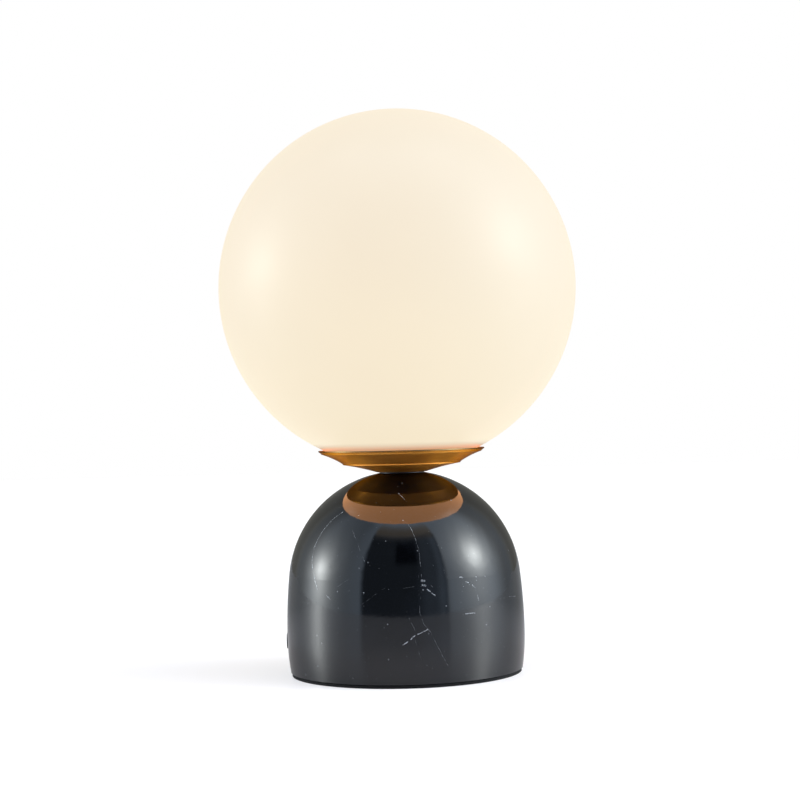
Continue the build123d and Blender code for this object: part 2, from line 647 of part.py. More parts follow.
def screw_shell():
    """Brass sleeve that takes the bulb's cap, a flange on the insert, and a tab to the neutral stud."""
    inner_r = BULB_THREAD_R + THREAD_GAP
    outer_r = inner_r + SHELL_T
    foot, foot_top = INSERT_TOP_Z, INSERT_TOP_Z + SHELL_T
    sleeve = turned(
        *thread_wave(inner_r),
        Line((inner_r, THREAD_TOP_Z), (outer_r, THREAD_TOP_Z)),
        *thread_wave(outer_r),
        Line((outer_r, BULB_CAP_LOW_Z), (outer_r, foot)),
        Line((outer_r, foot), (SHELL_FLANGE_R, foot)),
        Line((SHELL_FLANGE_R, foot), (SHELL_FLANGE_R, foot_top)),
        Line((SHELL_FLANGE_R, foot_top), (inner_r, foot_top)),
        Line((inner_r, foot_top), (inner_r, BULB_CAP_LOW_Z)),
    )
    tab_w, reach = 3.0, SHELL_FLANGE_R - POST_AT + SHELL_T
    tab = block(-POST_AT, 0, INSERT_FLOOR_Z, (SHELL_T, tab_w, foot_top - INSERT_FLOOR_Z))
    return sleeve + tab + block(-POST_AT - reach / 2, 0, foot, (reach, tab_w, SHELL_T))


def holder_body():
    """Outer sleeve of the holder with three raised rings and a rounded mouth."""
    ring_depth, ring_height = HOLDER_RING_SIZE
    first_ring_z = HOLDER_JOINT_Z + 8.0
    sleeve = disc(HOLDER_R, HOLDER_JOINT_Z, HOLDER_MOUTH_Z)
    for k in range(HOLDER_RINGS):
        low = first_ring_z + k * HOLDER_RING_PITCH
        sleeve += disc(HOLDER_R + ring_depth, low, low + ring_height)
    mouth = sleeve.edges().filter_by(GeomType.CIRCLE).sort_by(Axis.Z)[-1]
    return fillet(mouth, HOLDER_WALL / 2) - disc(INSERT_R, HOLDER_JOINT_Z, HOLDER_MOUTH_Z)


PARTS["holder_cap"] = holder_cap()
PARTS["holder_locking_screw"] = locking_screw()
PARTS["holder_insert"] = holder_insert()
PARTS["holder_contact_posts"] = Compound(children=[contact_post(-1), contact_post(1)])
PARTS["holder_post_screws"] = Compound(children=[post_screw(-1), post_screw(1)])
PARTS["holder_centre_contact"] = centre_contact()
PARTS["holder_screw_shell"] = screw_shell()
PARTS["holder_body"] = holder_body()


# ---------------------------------------------------------------- bulb
def bulb_cap():
    """Thin metal screw cap, hollow, closed at the top by the housing's collar."""
    inner = BULB_THREAD_R - SHELL_T
    curl_out, curl_in = ((CAP_CURL_R, BULB_CAP_LOW_Z - drop) for drop in CAP_CURL)
    return turned(
        Line(curl_out, (BULB_THREAD_R, BULB_CAP_LOW_Z)),
        *thread_wave(BULB_THREAD_R),
        Line((BULB_THREAD_R, THREAD_TOP_Z), (BULB_THREAD_R, BULB_CAP_TOP_Z)),
        Line((BULB_THREAD_R, BULB_CAP_TOP_Z), (inner, BULB_CAP_TOP_Z)),
        Line((inner, BULB_CAP_TOP_Z), (inner, THREAD_TOP_Z)),
        *thread_wave(inner),
        Line((inner, BULB_CAP_LOW_Z), curl_in),
        Line(curl_in, curl_out),
    )


def bulb_insulator():
    curl_out, curl_in = ((CAP_CURL_R, BULB_CAP_LOW_Z - drop) for drop in CAP_CURL)
    return turned_points((0, TIP_Z + TIP_T), (TIP_R, TIP_Z + TIP_T), curl_out, curl_in, (0, curl_in[1]))


def bulb_housing():
    """White lower shell of the bulb, from a collar on the cap out to the diffuser."""
    floor_t = 5.0
    rim_r, inner_neck_r = BULB_R - BULB_INSET, BULB_NECK_R - BULB_WALL
    neck_top = (BULB_NECK_R, BULB_CAP_TOP_Z + BULB_NECK_H)
    floor_top = (inner_neck_r, BULB_CAP_TOP_Z + floor_t)
    waist_r, waist_z = BULB_WAIST
    return turned(
        Line((0, BULB_CAP_TOP_Z), (BULB_NECK_R, BULB_CAP_TOP_Z)),
        Line((BULB_NECK_R, BULB_CAP_TOP_Z), neck_top),
        ThreePointArc(neck_top, BULB_WAIST, (rim_r, BULB_JOINT_Z)),
        Line((rim_r, BULB_JOINT_Z), (rim_r - BULB_WALL, BULB_JOINT_Z)),
        ThreePointArc((rim_r - BULB_WALL, BULB_JOINT_Z), (waist_r - BULB_WALL, waist_z + 0.8), floor_top),
        Line(floor_top, (0, floor_top[1])),
        Line((0, floor_top[1]), (0, BULB_CAP_TOP_Z)),
    )


def bulb_diffuser():
    """Frosted dome: a straight skirt, then half a sphere."""
    low, centre_z = BULB_JOINT_Z, BULB_TOP_Z - BULB_R
    inner_r = BULB_R - BULB_WALL
    lean = math.sqrt(0.5)
    outer_middle = (BULB_R * lean, centre_z + BULB_R * lean)
    inner_middle = (inner_r * lean, centre_z + inner_r * lean)
    return turned(
        Line((inner_r, low), (BULB_R, low)), Line((BULB_R, low), (BULB_R, centre_z)),
        ThreePointArc((BULB_R, centre_z), outer_middle, (0, BULB_TOP_Z)),
        Line((0, BULB_TOP_Z), (0, centre_z + inner_r)),
        ThreePointArc((0, centre_z + inner_r), inner_middle, (inner_r, centre_z)),
        Line((inner_r, centre_z), (inner_r, low)),
    )


def bulb_leds():
    """Ring of small emitters on the board."""
    chip = block(LED_RING_R, 0, BULB_JOINT_Z + LED_BOARD_T, LED_SIZE)
    return Compound(children=[Rot(0, 0, 360 / LED_COUNT * k) * chip for k in range(LED_COUNT)])


PARTS["bulb_cap"] = bulb_cap()
PARTS["bulb_cap_insulator"] = bulb_insulator()
PARTS["bulb_tip_contact"] = disc(TIP_R, TIP_Z, TIP_Z + TIP_T)
PARTS["bulb_housing"] = bulb_housing()
PARTS["bulb_led_board"] = disc(BULB_R - BULB_WALL, BULB_JOINT_Z, BULB_JOINT_Z + LED_BOARD_T)
PARTS["bulb_leds"] = bulb_leds()
PARTS["bulb_diffuser"] = bulb_diffuser()


# ---------------------------------------------------------------- globe
def glass_globe():
    """Hollow sphere with a round mouth at the bottom and a fire-polished lip."""
    inner_r = GLOBE_R - GLOBE_WALL
    lip_out = (LIP_OUT_R, sphere_z(GLOBE_R, LIP_OUT_R))
    lip_in = (LIP_IN_R, sphere_z(inner_r, LIP_IN_R))
    lip_tip = (MOUTH_R, (lip_out[1] + lip_in[1]) / 2)
    top, inner_top = (0, GLOBE_Z + GLOBE_R), (0, GLOBE_Z + inner_r)
    return turned(
        ThreePointArc(lip_out, (GLOBE_R, GLOBE_Z), top), Line(top, inner_top),
        ThreePointArc(inner_top, (inner_r, GLOBE_Z), lip_in), ThreePointArc(lip_in, lip_tip, lip_out),
    )


PARTS["glass_globe"] = glass_globe()

os.makedirs("parts", exist_ok=True)
for name, piece in PARTS.items():
    export_step(piece, f"parts/{name}.step")
print(len(PARTS), "parts")
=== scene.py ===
# %% [markdown]
# # A table lamp: glass globe, brass dish, black marble
# The lamp is a stack of turned pieces on one axis: a domed block of polished black marble, a shallow
# dish of satin brass, and a globe of opal glass that is lit from inside. A holder and a bulb stand in
# the globe. The solids come from the CAD model, in metres, with +Z up. The viewer stands on the -Y side.

# %% Load the solids
import math
import bpy
from mathutils import Matrix, Vector


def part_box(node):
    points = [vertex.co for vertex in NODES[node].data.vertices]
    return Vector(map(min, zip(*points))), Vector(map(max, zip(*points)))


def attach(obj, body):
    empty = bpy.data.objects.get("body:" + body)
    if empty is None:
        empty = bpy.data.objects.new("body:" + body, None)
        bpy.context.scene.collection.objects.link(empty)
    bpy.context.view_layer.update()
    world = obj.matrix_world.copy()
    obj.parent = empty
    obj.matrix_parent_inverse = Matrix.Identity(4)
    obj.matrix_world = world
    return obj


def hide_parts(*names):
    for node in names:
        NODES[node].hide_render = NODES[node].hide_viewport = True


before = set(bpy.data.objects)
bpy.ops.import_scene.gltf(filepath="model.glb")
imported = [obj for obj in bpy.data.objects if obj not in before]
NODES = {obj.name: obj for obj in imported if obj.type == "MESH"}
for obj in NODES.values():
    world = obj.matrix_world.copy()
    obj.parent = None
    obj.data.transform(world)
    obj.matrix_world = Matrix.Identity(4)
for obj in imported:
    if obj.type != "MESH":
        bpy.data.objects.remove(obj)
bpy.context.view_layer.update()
MM = 0.001

# %% [markdown]
# ## The camera
# A product photograph is taken with a long lens from about a metre away, so the sides of the lamp stay
# upright. The lens looks very slightly up from just above the dish, and the camera was tilted about a
# degree and a half sideways, which leans the top of the lamp to the left in the picture.

# %% Camera
CAMERA_DISTANCE = 0.983
CAMERA_HEIGHT = 0.1399
CAMERA_LENS = 78.7
CAMERA_SENSOR = 36.0
LOOK_UP = math.radians(0.723)
TILT = math.radians(1.5)
PICTURE = 800


def make_camera():
    data = bpy.data.cameras.new("camera")
    data.lens, data.sensor_width = CAMERA_LENS, CAMERA_SENSOR
    data.clip_start, data.clip_end = 0.01, 20
    camera = bpy.data.objects.new("camera", data)
    bpy.context.scene.collection.objects.link(camera)
    turn = Matrix.Rotation(math.pi / 2 + LOOK_UP, 4, "X") @ Matrix.Rotation(-TILT, 4, "Z")
    camera.matrix_world = Matrix.Translation((0, -CAMERA_DISTANCE, CAMERA_HEIGHT)) @ turn
    bpy.context.scene.camera = camera
    return camera


camera = make_camera()
bpy.context.view_layer.update()
print("camera at", camera.matrix_world.translation)

# %% [markdown]
# ## Building with nodes from a script
# Every finish here is a small network of nodes. They could be drawn by hand in the shader editor, but a
# script can be run again and changed in one place. A few helpers keep the network readable: `put` adds a
# node, `fill` types in or links its inputs, `calc` does one step of arithmetic, and `spread` maps a range
# of values to another one with soft ends.

# %% Helpers for nodes
def fill(tree, sockets, values):
    """Links a value that is a socket, and types in any other value."""
    for key, value in values.items():
        if isinstance(value, bpy.types.NodeSocket):
            tree.links.new(value, sockets[key])
        else:
            sockets[key].default_value = value


def put(tree, kind, inputs=None, **settings):
    node = tree.nodes.new(kind)
    for name, value in settings.items():
        setattr(node, name, value)
    fill(tree, node.inputs, inputs or {})
    return node


def calc(tree, operation, *values):
    return put(tree, "ShaderNodeMath", dict(enumerate(values)), operation=operation).outputs[0]


def times(tree, first, second):
    return calc(tree, "MULTIPLY", first, second)


def vector_calc(tree, operation, *values):
    node = put(tree, "ShaderNodeVectorMath", dict(enumerate(values)), operation=operation)
    return node.outputs["Value" if operation in ("LENGTH", "DOT_PRODUCT", "DISTANCE") else "Vector"]


def scaled(tree, vector, factor):
    return put(tree, "ShaderNodeVectorMath", {0: vector, "Scale": factor}, operation="SCALE").outputs[0]


def split(tree, vector):
    return put(tree, "ShaderNodeSeparateXYZ", {0: vector}).outputs


def combined(tree, x=0.0, y=0.0, z=0.0):
    return put(tree, "ShaderNodeCombineXYZ", {0: x, 1: y, 2: z}).outputs[0]


def spread(tree, value, low, high, to_low=0.0, to_high=1.0):
    inputs = {"Value": value, "From Min": low, "From Max": high, "To Min": to_low, "To Max": to_high}
    return put(tree, "ShaderNodeMapRange", inputs, interpolation_type="SMOOTHSTEP").outputs["Result"]


print("helpers for values and vectors ready")


# %% Helpers for colours and patterns
def rgb(red, green, blue):
    return (red, green, blue, 1.0)


def darker(colour, share):
    return tuple(share * part for part in colour[:3]) + (1.0,)


def blend_colours(tree, share, first, second, how="MIX"):
    inputs = {0: share, 6: first, 7: second}
    return put(tree, "ShaderNodeMix", inputs, data_type="RGBA", blend_type=how).outputs[2]


def noise(tree, place, scale, detail=3.0, roughness=0.5):
    inputs = {"Vector": place, "Scale": scale, "Detail": detail, "Roughness": roughness}
    return put(tree, "ShaderNodeTexNoise", inputs).outputs["Fac"]


def wander(tree, place, scale, detail, reach):
    """A smooth random offset, about half of reach long in each direction."""
    cloud = put(tree, "ShaderNodeTexNoise", {"Vector": place, "Scale": scale, "Detail": detail})
    return scaled(tree, vector_calc(tree, "SUBTRACT", cloud.outputs["Color"], (0.5, 0.5, 0.5)), reach)


def bump(tree, height, strength, distance):
    inputs = {"Strength": strength, "Distance": distance, "Height": height}
    return put(tree, "ShaderNodeBump", inputs).outputs[0]


print("helpers for colours and patterns ready")


# %% Helpers for groups and materials
def new_group(name, inputs, outputs):
    """An empty shader group with named inputs and outputs, and the sockets inside it."""
    tree = bpy.data.node_groups.new(name, "ShaderNodeTree")
    for title, (kind, default) in inputs.items():
        socket = tree.interface.new_socket(title, in_out="INPUT", socket_type="NodeSocket" + kind)
        if default is not None:
            socket.default_value = default
    for title, kind in outputs.items():
        tree.interface.new_socket(title, in_out="OUTPUT", socket_type="NodeSocket" + kind)
    return tree, tree.nodes.new("NodeGroupInput").outputs, tree.nodes.new("NodeGroupOutput").inputs


def place_group(tree, group, inputs):
    return put(tree, "ShaderNodeGroup", inputs, node_tree=group).outputs


def new_finish(name):
    """A material with a Principled shader: the tree, the shader, and the Object coordinates."""
    material = bpy.data.materials.new(name)
    material.use_nodes = True
    tree = material.node_tree
    shader = tree.nodes["Principled BSDF"]
    place = put(tree, "ShaderNodeTexCoord").outputs["Object"]
    return material, tree, shader, place


print("helpers for groups and materials ready")

# %% [markdown]
# ## The room in the reflections
# Polished stone is nearly black, so what one sees of it is mostly the room. The photograph shows a dark
# doorway behind the camera, a round soft lamp on each side of it, pale walls, and a dim room behind the
# table lamp. The world shader paints them by compass direction and height above the horizon, in degrees.
# A flat light would be quicker, but then the stone would show nothing. The lamp stands against plain
# white, so what the camera itself sees of the world is white.

# %% Walls and the doorway
ROOM_LIGHT = 0.95
WALL_TINT = rgb(0.80, 1.0, 1.27)
BACK_TINT = rgb(1.04, 1.0, 0.84)
DOOR_TOP_TINT = rgb(1.18, 0.98, 0.76)
BACK_WALL = ((180, 10), (46, 80), (9, 10), 0.12)
# name: (compass and height of the middle, half sizes, softness, light); a later one covers an earlier one
PANELS = {
    "left_wall": ((-92, 15), (38, 90), (10, 5), 0.62),
    "left_wall_end": ((-126, 15), (14, 90), (12, 5), 0.18),
    "right_wall": ((88, 15), (45, 90), (2, 5), 1.05),
    "right_wall_end": ((124, 15), (18, 90), (14, 5), 0.22),
    "ceiling": ((0, 85), (200, 19), (5, 8), 1.7),
    "doorway": ((-1, 22), (42, 31), (3, 3), 0.15),
    "doorway_right": ((29, 22), (12, 31), (7, 3), 0.36),
    "doorway_edge": ((37, 22), (4, 31), (4, 3), 0.62),
    "doorway_top": ((0, 56), (41, 5), (3, 6), 0.50),
    "doorway_dark": ((2, 35), (12, 11), (4, 5), 0.03),
}
DOORWAY_MASK = ((-1, 22), (43, 32), (2, 4))


def soft_panel():
    """Mask of a panel in (compass, height) degrees: 1 inside, falling off over its softness."""
    names = ("Centre", "Half", "Soft")
    inputs = {"Compass": ("Float", 0.0), "Height": ("Float", 0.0)}
    inputs.update({f"{axis} {name}": ("Float", 1.0) for axis in ("Compass", "Height") for name in names})
    tree, given, result = new_group("soft panel", inputs, {"Mask": "Float"})
    masks = []
    for axis in ("Compass", "Height"):
        away = calc(tree, "SUBTRACT", given[axis], given[f"{axis} Centre"])
        if axis == "Compass":
            away = calc(tree, "WRAP", away, 180.0, -180.0)
        away = calc(tree, "ABSOLUTE", away)
        outer = calc(tree, "ADD", given[f"{axis} Half"], given[f"{axis} Soft"])
        inner = calc(tree, "SUBTRACT", given[f"{axis} Half"], given[f"{axis} Soft"])
        masks.append(spread(tree, away, inner, outer, 1.0, 0.0))
    tree.links.new(times(tree, *masks), result["Mask"])
    return tree


PANEL_GROUP = soft_panel()


def panel_mask(tree, compass, height, panel):
    centre, half, soft = panel[:3]
    return place_group(tree, PANEL_GROUP, {
        "Compass": compass, "Height": height, "Compass Centre": centre[0], "Height Centre": centre[1],
        "Compass Half": half[0], "Height Half": half[1], "Compass Soft": soft[0], "Height Soft": soft[1],
    })["Mask"]


print(len(PANELS) + 1, "walls and openings")


# %% Two round soft lamps
# name: (compass, height, width, light)
LAMPS = {"left_lamp": (-93, 11, 10.6, 12.5), "right_lamp": (79, 22, 12.5, 14.0)}
LAMP_FALL = 1.38
LAMP_TINT = rgb(0.96, 1.0, 0.99)


def soft_lamp():
    """Light of a round lamp: full in its middle, with a long soft glow round it."""
    tree, given, result = new_group(
        "soft lamp", {"Way": ("Vector", None), "Towards": ("Vector", None), "Width": ("Float", 10.0),
                      "Light": ("Float", 1.0)}, {"Light": "Float"})
    apart = calc(tree, "DEGREES", calc(tree, "ARCCOSINE", vector_calc(
        tree, "DOT_PRODUCT", given["Way"], given["Towards"])))
    ratio = calc(tree, "DIVIDE", apart, given["Width"])
    fall = calc(tree, "POWER", calc(tree, "MULTIPLY_ADD", ratio, ratio, 1.0), LAMP_FALL)
    tree.links.new(calc(tree, "DIVIDE", given["Light"], fall), result["Light"])
    return tree


def towards(compass, height):
    compass, height = math.radians(compass), math.radians(height)
    flat = math.cos(height)
    return (flat * math.sin(compass), -flat * math.cos(compass), math.sin(height))


def walls_light(tree, compass, height):
    """Each panel in turn is laid over the light of the ones before it."""
    light = ROOM_LIGHT
    for panel in (*PANELS.values(), BACK_WALL):
        step = calc(tree, "SUBTRACT", panel[3], light)
        light = calc(tree, "MULTIPLY_ADD", panel_mask(tree, compass, height, panel), step, light)
    back = panel_mask(tree, compass, height, BACK_WALL)
    door_top = panel_mask(tree, compass, height, PANELS["doorway_top"])
    tint = blend_colours(tree, back, blend_colours(tree, door_top, WALL_TINT, DOOR_TOP_TINT), BACK_TINT)
    return put(tree, "ShaderNodeBackground", {"Color": tint, "Strength": light}).outputs[0]


def lamps_light(tree, way, compass, height):
    """The lamps stand beside the doorway, so they don't shine in it."""
    lamp_group, glow = soft_lamp(), 0.0
    for compass_at, height_at, width, strength in LAMPS.values():
        lamp = {"Way": way, "Towards": towards(compass_at, height_at), "Width": width, "Light": strength}
        glow = calc(tree, "ADD", glow, place_group(tree, lamp_group, lamp)["Light"])
    open_door = panel_mask(tree, compass, height, DOORWAY_MASK)
    glow = times(tree, glow, calc(tree, "SUBTRACT", 1.0, open_door))
    return put(tree, "ShaderNodeBackground", {"Color": LAMP_TINT, "Strength": glow}).outputs[0]


def make_world():
    world = bpy.data.worlds.new("studio")
    world.use_nodes = True
    tree = world.node_tree
    tree.nodes.clear()
    way = put(tree, "ShaderNodeTexCoord").outputs["Generated"]
    x, y, z = split(tree, way)
    compass = calc(tree, "DEGREES", calc(tree, "ARCTAN2", x, times(tree, y, -1.0)))
    height = calc(tree, "DEGREES", calc(tree, "ARCSINE", z))
    walls, lamps = walls_light(tree, compass, height), lamps_light(tree, way, compass, height)
    room = put(tree, "ShaderNodeAddShader", {0: walls, 1: lamps})
    plain = put(tree, "ShaderNodeBackground", {"Color": rgb(1, 1, 1), "Strength": 1.0})
    seen = put(tree, "ShaderNodeLightPath").outputs["Is Camera Ray"]
    mixed = put(tree, "ShaderNodeMixShader", {0: seen, 1: room.outputs[0], 2: plain.outputs[0]})
    put(tree, "ShaderNodeOutputWorld", {0: mixed.outputs[0]})
    bpy.context.scene.world = world


make_world()
bpy.context.scene.view_settings.view_transform = "Standard"
print("room with", len(LAMPS), "soft lamps")

# %% [markdown]
# ## The floor
# A plain pale table top catches the lamp's soft shadow and, being smooth, a little of the room at a low
# angle. It is one large sheet, so no edge of it shows. Behind the lamp it lies in the shade of the dim
# room. A small glow for the camera's own rays brings it up to the white of the photograph, and leaves
# only a soft shadow where the lamp stands.

# %% Floor
FLOOR_HALF = 4.0
FLOOR_NEAR = rgb(0.86, 0.79, 0.79)
FLOOR_FAR = rgb(0.42, 0.40, 0.40)       # where it lies in the shade behind the lamp
FLOOR_SHADE = (0.0, 0.45)               # where the shade starts and is full, in metres behind the lamp
FLOOR_LIFT = (0.50, 0.30)               # everywhere, and added in the shade
FLOOR_ROUGHNESS = 0.24


def make_floor():
    mesh = bpy.data.meshes.new("floor")
    corners = [(sx * FLOOR_HALF, sy * FLOOR_HALF, 0) for sx, sy in ((-1, -1), (1, -1), (1, 1), (-1, 1))]
    mesh.from_pydata(corners, [], [(0, 1, 2, 3)])
    floor = bpy.data.objects.new("floor", mesh)
    bpy.context.scene.collection.objects.link(floor)
    material, tree, shader, place = new_finish("pale_floor")
    behind = spread(tree, split(tree, place)[1], *FLOOR_SHADE)
    shade = calc(tree, "MULTIPLY_ADD", noise(tree, place, scale=30.0), 0.04, behind)
    lift = calc(tree, "MULTIPLY_ADD", behind, FLOOR_LIFT[1], FLOOR_LIFT[0])
    seen = put(tree, "ShaderNodeLightPath").outputs["Is Camera Ray"]
    fill(tree, shader.inputs, {
        "Base Color": blend_colours(tree, shade, FLOOR_NEAR, FLOOR_FAR), "Roughness": FLOOR_ROUGHNESS,
        "Emission Color": rgb(1, 1, 1), "Emission Strength": times(tree, seen, lift)})
    mesh.materials.append(material)


make_floor()
print("floor", 2 * FLOOR_HALF, "m wide")

# %% [markdown]
# ## What real surfaces share
# No surface is evenly smooth. Two effects are used in many of the finishes below, so each is a group
# with its own inputs. `handled surface` makes the roughness wander a little, as polish and fingers do.
# `turned lines` makes the fine rings that a lathe or a polishing wheel leaves round a turned piece.

# %% Shared effects
FINER = 14.0                            # the fine grain against the broad one
TURN_DRIFT = 0.00003                    # how slowly a lathe line changes on its way round, in m per radian


def handled_surface():
    tree, given, result = new_group(
        "handled surface",
        {"Place": ("Vector", None), "Scale": ("Float", 60.0), "Roughness": ("Float", 0.3),
         "Wander": ("Float", 0.1)},
        {"Roughness": "Float", "Grain": "Float"})
    broad = noise(tree, given["Place"], given["Scale"], detail=4.0, roughness=0.55)
    fine = noise(tree, given["Place"], times(tree, given["Scale"], FINER), detail=2.0)
    swing = times(tree, calc(tree, "SUBTRACT", broad, 0.5), given["Wander"])
    tree.links.new(calc(tree, "ADD", given["Roughness"], swing), result["Roughness"])
    tree.links.new(fine, result["Grain"])
    return tree


def turned_lines():
    """Height of fine rings about the lamp's axis: noise that only knows radius and height."""
    tree, given, result = new_group(
        "turned lines", {"Place": ("Vector", None), "Fineness": ("Float", 2000.0)}, {"Height": "Float"})
    x, y, z = split(tree, given["Place"])
    radius = calc(tree, "SQRT", calc(tree, "ADD", times(tree, x, x), times(tree, y, y)))
    turn = times(tree, calc(tree, "ARCTAN2", x, y), TURN_DRIFT)
    across = combined(tree, radius, z, turn)
    tree.links.new(noise(tree, across, given["Fineness"], roughness=0.6), result["Height"])
    return tree


HANDLED = handled_surface()
TURNED = turned_lines()


def handled(tree, place, scale, roughness, wander):
    return place_group(tree, HANDLED, {
        "Place": place, "Scale": scale, "Roughness": roughness, "Wander": wander})


print("shared effects:", HANDLED.name, "and", TURNED.name)

# %% [markdown]
# ## Black marble
# Black marble is near black with a trace of blue, and fine white veins of calcite run through it. The
# veins that one sees in the photograph are listed one by one: each is a chain of picture points, and a ray
# from the camera through each point finds where it lies on the stone. The shader then measures its
# distance to every link of the chain, in a flat map of the stone: arc length round it, and height. On the
# sides and back, which the picture doesn't show, a cracked cell pattern makes veins of the same kind.

# %% Where the veins of the picture lie
STONE_MAP_RADIUS = 0.0665
# name: (width in mm, brightness, picture points)
VEINS = {
    "left_arc": (0.34, 0.85, [(343, 512), (333, 519), (325, 528), (318, 539), (314, 548), (312, 562),
                              (314, 576), (317, 590)]),
    "centre_top": (0.32, 0.80, [(402.6, 520), (407.5, 523.5), (411, 528), (412.6, 531)]),
    "centre_line": (0.22, 0.38, [(412.6, 531), (416, 540), (419, 552), (421, 566), (421.7, 579)]),
    "centre_low": (0.20, 0.24, [(421.5, 584), (420.5, 598), (419.5, 610), (424, 624), (430, 632)]),
    "centre_twin": (0.16, 0.16, [(419, 567), (418.6, 590), (419.6, 615)]),
    "centre_blob": (0.9, 0.8, [(421.2, 580.4), (424.2, 580.8)]),
    "second_blob": (0.85, 0.8, [(422.2, 584.8), (425.2, 585.4)]),
    "branch_start": (0.5, 0.8, [(427, 589), (430, 591.6)]),
    "branch_end": (0.5, 0.75, [(431.6, 593), (435, 595)]),
    "branch_side": (0.35, 0.5, [(431, 585.4), (432.5, 587)]),
    "streak_low": (0.5, 0.8, [(403.5, 645), (408, 641.5)]),
    "streak_middle": (0.55, 0.85, [(411, 639), (415, 635.5)]),
    "streak_high": (0.45, 0.75, [(418, 634), (422, 632.5), (427.5, 629.5)]),
    "low_left": (0.18, 0.22, [(406.8, 611.8), (411, 622), (415.7, 631.4)]),
    "low_middle": (0.18, 0.22, [(415.7, 640), (419, 652), (422.8, 663.6)]),
    "low_right": (0.18, 0.24, [(430, 631), (440, 651), (449.6, 669)]),
    "dome_tick": (0.45, 0.7, [(398, 493), (401.7, 496), (404.5, 499)]),
    "left_faint": (0.20, 0.42, [(352.6, 531), (357, 540), (361, 552), (365, 563)]),
    "left_tick": (0.45, 0.7, [(326.5, 595.5), (328.5, 597.5), (330.5, 599.6)]),
    "left_spot": (0.5, 0.6, [(363.4, 592.4), (364, 592.8)]),
    "cross_high": (0.18, 0.20, [(338, 586.8), (352, 577), (364, 569)]),
    "cross_low": (0.18, 0.22, [(362, 604.6), (376, 594), (389, 585)]),
    "cross_short": (0.18, 0.20, [(403, 588.6), (414, 586.8)]),
    "right_streak": (0.5, 0.7, [(466, 613.8), (468, 613.6), (470.5, 613.4), (475, 612.8)]),
    "right_spots_high": (0.5, 0.7, [(459.5, 577.4), (461, 577.1), (463, 577.8)]),
    "right_spots_middle": (0.55, 0.75, [(466.5, 581.6), (468.3, 582.4)]),
    "right_spots_low": (0.5, 0.6, [(472.0, 585), (474.6, 587.6)]),
    "right_spots_end": (0.4, 0.5, [(477.5, 596.4), (478.6, 600.4)]),
    "right_line": (0.2, 0.3, [(474.6, 587.6), (477.5, 596.4), (478.4, 606)]),
    "right_faint": (0.2, 0.28, [(500, 599), (507, 596.5), (516, 596)]),
}
# name: (picture point in the middle, radius in mm) of the places with more grains
GRAIN_CLUSTERS = {"centre": ((424, 586), 6.0), "right": ((468, 584), 8.0), "low_right": ((474, 612), 5.0)}


def picture_ray(px, py):
    """A ray from the camera through a point of the 800 by 800 picture."""
    step = CAMERA_SENSOR / CAMERA_LENS / PICTURE
    way = Vector(((px - PICTURE / 2) * step, (PICTURE / 2 - py) * step, -1.0))
    return camera.matrix_world.translation, (camera.matrix_world.to_3x3() @ way).normalized()


def on_the_stone(px, py):
    """Place of a picture point on the marble, in its flat map, in metres."""
    start, way = picture_ray(px, py)
    found, point, _, _ = NODES["marble_base"].ray_cast(start, way)
    if not found:
        return None
    return Vector((STONE_MAP_RADIUS * math.atan2(point.x, -point.y), point.z, 0.0))


def vein_links():
    """Every link of every vein, as (first point, second point, half width in m, brightness)."""
    links = []
    for width, bright, points in VEINS.values():
        found = [p for p in (on_the_stone(*point) for point in points) if p]
        links += [(a, b, width * MM / 2, bright) for a, b in zip(found, found[1:])]
    return links


LINKS = vein_links()
CLUSTERS = [(on_the_stone(*point), radius * MM) for point, radius in GRAIN_CLUSTERS.values()]
print(len(LINKS), "links of", len(VEINS), "veins and", len(CLUSTERS), "clusters of grains lie on the stone")


# %% The veins as a mask
VEIN_EDGE = (1.6, 0.3)                  # where a vein's soft edge ends and starts, in half widths
VEIN_BENDS = {"scale": 140.0, "detail": 4.0, "reach": 0.0014}
CRACK_BENDS = {"scale": 26.0, "detail": 5.0, "reach": 0.05}
CRACK_CELLS = 22.0
CRACK_LINE = (0.012, 0.002)             # where its soft edge ends and starts, from the border of two cells
CRACK_LIGHT = 0.55
FAR_SIDES = (1.15, 1.6)                 # angle from the front where cracks start and are full, in radians


def vein_link():
    """Brightness of one straight link: full on its line, nothing past its soft edge."""
    tree, given, result = new_group(
        "vein link",
        {"Map": ("Vector", None), "Start": ("Vector", None), "End": ("Vector", None),
         "Half Width": ("Float", 0.0002), "Brightness": ("Float", 1.0), "Before": ("Float", 0.0)},
        {"Mask": "Float"})
    to_point = vector_calc(tree, "SUBTRACT", given["Map"], given["Start"])
    along = vector_calc(tree, "SUBTRACT", given["End"], given["Start"])
    share = calc(tree, "DIVIDE", vector_calc(tree, "DOT_PRODUCT", to_point, along),
                 vector_calc(tree, "DOT_PRODUCT", along, along))
    share = put(tree, "ShaderNodeClamp", {0: share}).outputs[0]
    gap = vector_calc(tree, "LENGTH", vector_calc(tree, "SUBTRACT", to_point, scaled(tree, along, share)))
    edge, core = [times(tree, given["Half Width"], part) for part in VEIN_EDGE]
    core = spread(tree, gap, edge, core)
    tree.links.new(calc(tree, "MAXIMUM", given["Before"], times(tree, core, given["Brightness"])),
                   result["Mask"])
    return tree


